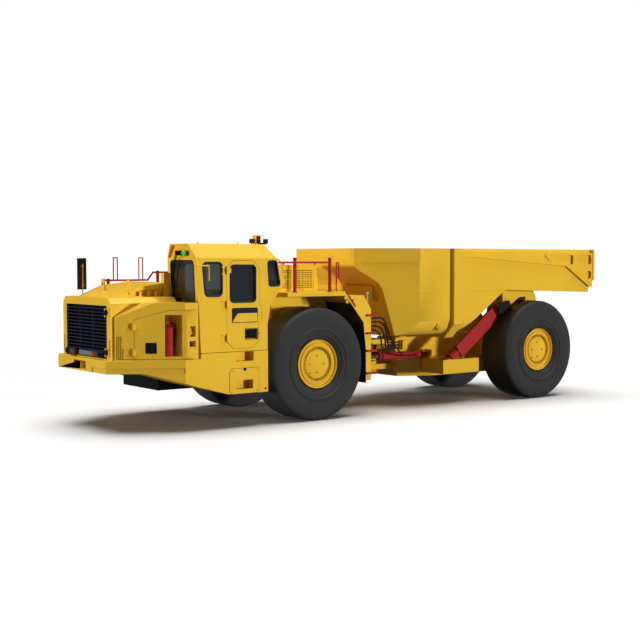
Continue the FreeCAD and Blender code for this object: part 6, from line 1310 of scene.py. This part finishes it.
def make_flank_fittings(name, side):
    """Weld seams and a handle, carried along their lines, and the lifting eye under the belly: a
    ring on a plate."""
    seams = [carried([(x, side * (SIDE + 0.0005), z) for x, z in ends], SEAM_RADIUS, 8) for ends in SEAMS]
    piece("bed_seam_" + name, BED, "yellow", seams)
    place = on_side(BELLY_EYE_PLACE, side)
    leg = plate(Board(place, Y, Z, X), BELLY_LEG, 0.01, -0.012, 0.012, 0.003)
    piece("belly_eye_" + name, BED, "yellow", [leg], [ring_tube(place, X, Z, *BELLY_EYE)])
    handle = bent([on_side(point, side) for point in FLANK_HANDLE], 0.03)
    piece("flank_handle_" + name, BED, "yellow", [carried(handle, 0.0095, 10)])


# A flap's top front corner, and how it reaches back, hangs and bows.
FLAP_CORNER = (-2.985, 1.240, 1.965)
FLAP_WIDTH = 0.330
FLAP_DROP = 0.235
FLAP_RISE = 0.045
FLAP_SWEEP = 0.020
FLAP_BOW = 0.018
FLAP_WAVE = 0.008
FLAP_THICKNESS = 0.010
FLAP_STEPS = 9


def make_mud_flap(name, side):
    """Rubber sheet between hoist bracket and rear tyre: x and z run straight with its two shares,
    and y bows out by the sine of its fall and waves once across."""
    steps = np.linspace(0, 1, FLAP_STEPS)
    share, fall = np.meshgrid(steps, steps)
    x = FLAP_CORNER[0] - FLAP_WIDTH * share - FLAP_SWEEP * fall
    y = side * (FLAP_CORNER[1] + FLAP_BOW * np.sin(np.pi * fall) + FLAP_WAVE * np.sin(2 * np.pi * share))
    z = FLAP_CORNER[2] - FLAP_DROP * fall + FLAP_RISE * share
    index = np.arange(FLAP_STEPS ** 2).reshape(FLAP_STEPS, FLAP_STEPS)
    faces = np.stack([index[:-1, :-1], index[:-1, 1:], index[1:, 1:], index[1:, :-1]], -1).reshape(-1, 4)
    mesh = bpy.data.meshes.new("mud_flap_" + name)
    mesh.from_pydata(np.stack([x, y, z], -1).reshape(-1, 3), [], faces.tolist())
    mesh.shade_smooth()
    obj = bpy.data.objects.new("mud_flap_" + name, mesh)
    bpy.context.scene.collection.objects.link(obj)
    thick = obj.modifiers.new("rubber", "SOLIDIFY")
    thick.thickness = FLAP_THICKNESS
    thick.offset = 0.0
    finished(obj, BED, "rubber", HOSE)


# ------------------------------------------------------------------ pods and belly
HATCH = [(3.045, 0.592), (3.630, 0.592), (3.630, 0.960), (3.585, 1.015), (3.045, 1.015)]
HATCH_GAP = 0.006
HATCH_OPENING = (3.170, 0.668, 3.510, 0.836)
HATCH_NOTCH = [(0.034, -0.05), (0.034, 0.05)]
HATCH_NOTCH_PLACE = (3.330, 1.000)
HATCH_SCREW = (0.010, 0.006)
HATCH_SCREW_PLACES = ((3.080, 0.625), (3.080, 0.980), (3.595, 0.625), (3.565, 0.975))
TIE_HOLE_SHADE = [(0.001, 0.0015), (0.020, 0.0015), (0.022, -0.004)]
TIE_HOLE_PLACE = (2.910, 0.648)


def make_pod_hatch(name, side):
    """Cover slab round the pod's lower recess over a slightly larger dark one, painted shade in the gap
    round the cover; the opening is cut through both, and the finger notch through the cover. The tie
    hole is a dark disc of painted shade."""
    out = Y * side
    board = side_board(side * SIDE, side)
    corners, normals = rounded(HATCH, 0.014)
    opening = plate(board, HATCH_OPENING, 0.012, -0.05, 0.05)
    notch = turned(HATCH_NOTCH, board.at(HATCH_NOTCH_PLACE), out, 24)
    gap = slab(board, (corners + normals * HATCH_GAP, normals), -0.004, 0.0015)
    pierced(dark_piece("hatch_gap_shade_" + name, FRONT, [gap]), [opening])
    cover = slab(board, (corners, normals), -0.004, 0.007, 0.002)
    pierced(piece("hatch_" + name, FRONT, "yellow", [cover]), [opening, notch])
    screws = [bolt(board.at(place, 0.006), out, *HATCH_SCREW) for place in HATCH_SCREW_PLACES]
    piece("hatch_screws_" + name, FRONT, "iron", screws)
    hole = turned(TIE_HOLE_SHADE, board.at(TIE_HOLE_PLACE), out, 24)
    dark_piece("pod_hole_shade_" + name, FRONT, [hole])


BELLY_LOW = 0.640
BELLY_HIGH = 0.984
BELLY_HALF = 0.625
BELLY_RUNS = ((4.045, 4.478), (3.600, 4.035))
BELLY_BOLT = (0.014, 0.010)
FLANK_BOLTS = [(x, 0.690) for x in (3.66, 3.97, 4.11, 4.42)]
FRONT_BOLTS = [(y, z) for y in (-0.5, -0.17, 0.17, 0.5) for z in (0.70, 0.92)]
UNDER_PLATE = (3.600, -BELLY_HALF, 4.480, BELLY_HALF)


def make_belly_guard():
    """Dark skid plates over the front, sides and underside of the chassis below the nose, with bolts."""
    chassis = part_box("front_chassis")[1]
    ahead = front_board(chassis.x)
    shells = [plate(ahead, (-BELLY_HALF, BELLY_LOW, BELLY_HALF, BELLY_HIGH), 0.01, -0.004, 0.008, 0.003)]
    for side in (1, -1):
        flank = side_board(side * chassis.y, side)
        shells += [plate(flank, (start, BELLY_LOW, end, BELLY_HIGH), 0.01, -0.004, 0.007, 0.003)
                   for start, end in BELLY_RUNS]
        shells += [bolt(flank.at(place, 0.007), Y * side, *BELLY_BOLT) for place in FLANK_BOLTS]
    shells += [bolt(ahead.at(place, 0.008), X, *BELLY_BOLT) for place in FRONT_BOLTS]
    shells.append(plate(Board((0, 0, BELLY_LOW), X, Y, -Z), UNDER_PLATE, 0.02, -0.004, 0.008, 0.003))
    piece("belly_guard", FRONT, "iron", shells, material=DARK)


CAB_GAP = 0.004
BOX_GAP = 0.0035
BOX_FOOT = 1.225


def make_seam_shade():
    """Painted shade in the gaps under the cab and along the foot of the left side box: thin dark slabs."""
    cab = plate(SIDE_BOARD, (CAB_REAR - 0.02, FLOOR - CAB_GAP, CAB_FRONT + 0.07, FLOOR + CAB_GAP), 0.001,
                -0.003, 0.0015, steps=2)
    foot = plate(FLANK, (0.02, BOX_FOOT - BOX_GAP, 1.245, BOX_FOOT + BOX_GAP), 0.001,
                 -0.003, 0.0015, steps=2)
    dark_piece("body_seam_shade", FRONT, [cab, foot])


# ------------------------------------------------------------------ CAD pieces
# How far a node's edges are rounded where it isn't by EDGE; glass keeps its sharp edges.
EDGES = {"grille_door": THIN_EDGE, "cab_glass": 0, "cab_door_glass": 0, "handrails": THIN_EDGE,
         "grab_rails": THIN_EDGE, "extinguisher": 0.004, "grille_lamps": THIN_EDGE}
WHEELS = ("fl", "fr", "rl", "rr")
PIECE_MADE = {kind + wheel for kind in ("tyre_", "rim_") for wheel in WHEELS} | {"beacon"}
HITCH_STOP_PLACE = (-0.358, 0.5005, 1.151)


def dress_nodes():
    """Every CAD node that no finer piece stands for gets a rounded, finished copy."""
    holes = {"side_box_l": vent_holes(), "hood": comb_slits()}
    for node in NODES:
        if node not in PIECE_MADE:
            rounded_copy(node, EDGES.get(node, EDGE), holes.get(node, ()))


dress_nodes()
for wheel in WHEELS:
    make_wheel(wheel)
make_radiator()
make_grille_lamps()
make_nose_bolts()
make_port()
make_door_fittings()
make_window_seals()
make_wipers()
make_visor_lamps()
make_roof_studs()
make_beacon()
make_door_plate()
make_cab_door_fittings()
make_cab_inside()
make_post_feet()
make_fender_fittings()
make_guard_details()
make_rung_treads()
make_bulkhead()
make_hose_block()
make_hoses()
stop_plate(FRONT, "hitch", HITCH_STOP_PLACE, 0.040)
make_ram_collars()
make_hoist_shield_details()
make_belly_guard()
make_seam_shade()
for name, side in SIDES:
    make_pin_cover(name, side)
    make_rail_fittings(name, side)
    make_flank_fittings(name, side)
    make_mud_flap(name, side)
    make_pod_hatch(name, side)


# ------------------------------------------------------------------ studio
FLOOR_REACH = 400.0
FLOOR_SEEN = (0.93, 0.93, 0.93)
FLOOR_LIGHTING = (0.18, 0.18, 0.18)
FLOOR_FADE = (8.0, 16.0)
AMBIENT = 0.04
CAMERA_PLACE = (13.916, 17.617, 2.796)
CAMERA_YAW = math.radians(232.908)
CAMERA_PITCH = math.radians(-2.899)
CAMERA_LENS = 64.65
CAMERA_SENSOR = 36.0
# Each lamp: name, direction, strength, width in degrees, and whether gloss mirrors it.
LAMP_POSTS = (
    ("left_rear", (-0.50, 0.85, 0.028), 3.0, 5, False),
    ("front_right", (0.90, -0.52, 0.028), 2.8, 5, False),
    ("above", (-0.04, -0.02, 1.0), 3.25, 55, True),
)


def make_floor():
    """A wide floor that takes the shadow near the truck and fades to plain white far off. It looks
    pale, yet throws little light back at the truck."""
    corners = np.array([(-1, -1, 0), (1, -1, 0), (1, 1, 0), (-1, 1, 0)]) * FLOOR_REACH
    mesh = bpy.data.meshes.new("floor")
    mesh.from_pydata(corners, [], [(0, 1, 2, 3)])
    floor = bpy.data.objects.new("floor", mesh)
    bpy.context.scene.collection.objects.link(floor)
    look = Finish("floor_white")
    seen = look.add("ShaderNodeLightPath", {}, {}, "Is Camera Ray")
    look.set(roughness=0.9, base_color=look.mix(seen, FLOOR_LIGHTING, FLOOR_SEEN))
    away = look.add("ShaderNodeVectorMath", {"operation": "LENGTH"}, {0: look.place}, 1)
    far = look.ramp(away, *FLOOR_FADE)
    glow = look.add("ShaderNodeEmission", {}, {"Color": WHITE, "Strength": 1.0})
    paint = Wire(look, look.shader.outputs[0])
    both = look.add("ShaderNodeMixShader", {}, {0: far * seen, 1: paint, 2: glow})
    look.links.new(both.socket, look.nodes["Material Output"].inputs["Surface"])
    mesh.materials.append(look.material)


def make_world():
    """Pale surroundings: white where seen or looked at through glass, faint where they light."""
    world = bpy.data.worlds.new("studio")
    bpy.context.scene.world = world
    world.use_nodes = True
    nodes = world.node_tree.nodes
    links = world.node_tree.links
    path = nodes.new("ShaderNodeLightPath")
    seen = nodes.new("ShaderNodeMath")
    seen.operation = "MAXIMUM"
    links.new(path.outputs["Is Camera Ray"], seen.inputs[0])
    links.new(path.outputs["Is Transmission Ray"], seen.inputs[1])
    strength = nodes.new("ShaderNodeMapRange")
    links.new(seen.outputs[0], strength.inputs[0])
    strength.inputs["To Min"].default_value = AMBIENT
    strength.inputs["To Max"].default_value = 1.0
    background = nodes["Background"]
    background.inputs["Color"].default_value = (*WHITE, 1)
    links.new(strength.outputs[0], background.inputs["Strength"])


def make_lamp(name, direction, strength, angle, mirrored):
    """A distant lamp from that direction; its angle softens the shadow."""
    lamp = bpy.data.lights.new(name, "SUN")
    lamp.energy = strength
    lamp.angle = math.radians(angle)
    obj = bpy.data.objects.new(name, lamp)
    bpy.context.scene.collection.objects.link(obj)
    obj.rotation_euler = Vector(direction).to_track_quat("Z", "Y").to_euler()
    obj.visible_glossy = mirrored


def make_camera():
    """The view from ahead and to the left, low and almost level."""
    data = bpy.data.cameras.new("camera")
    data.sensor_width = CAMERA_SENSOR
    data.lens = CAMERA_LENS
    camera = bpy.data.objects.new("camera", data)
    bpy.context.scene.collection.objects.link(camera)
    camera.location = CAMERA_PLACE
    level = math.cos(CAMERA_PITCH)
    ahead = Vector((level * math.cos(CAMERA_YAW), level * math.sin(CAMERA_YAW), math.sin(CAMERA_PITCH)))
    camera.rotation_euler = ahead.to_track_quat("-Z", "Y").to_euler()
    bpy.context.scene.camera = camera


make_floor()
make_world()
for lamp_post in LAMP_POSTS:
    make_lamp(*lamp_post)
make_camera()
bpy.context.scene.view_settings.view_transform = "Standard"
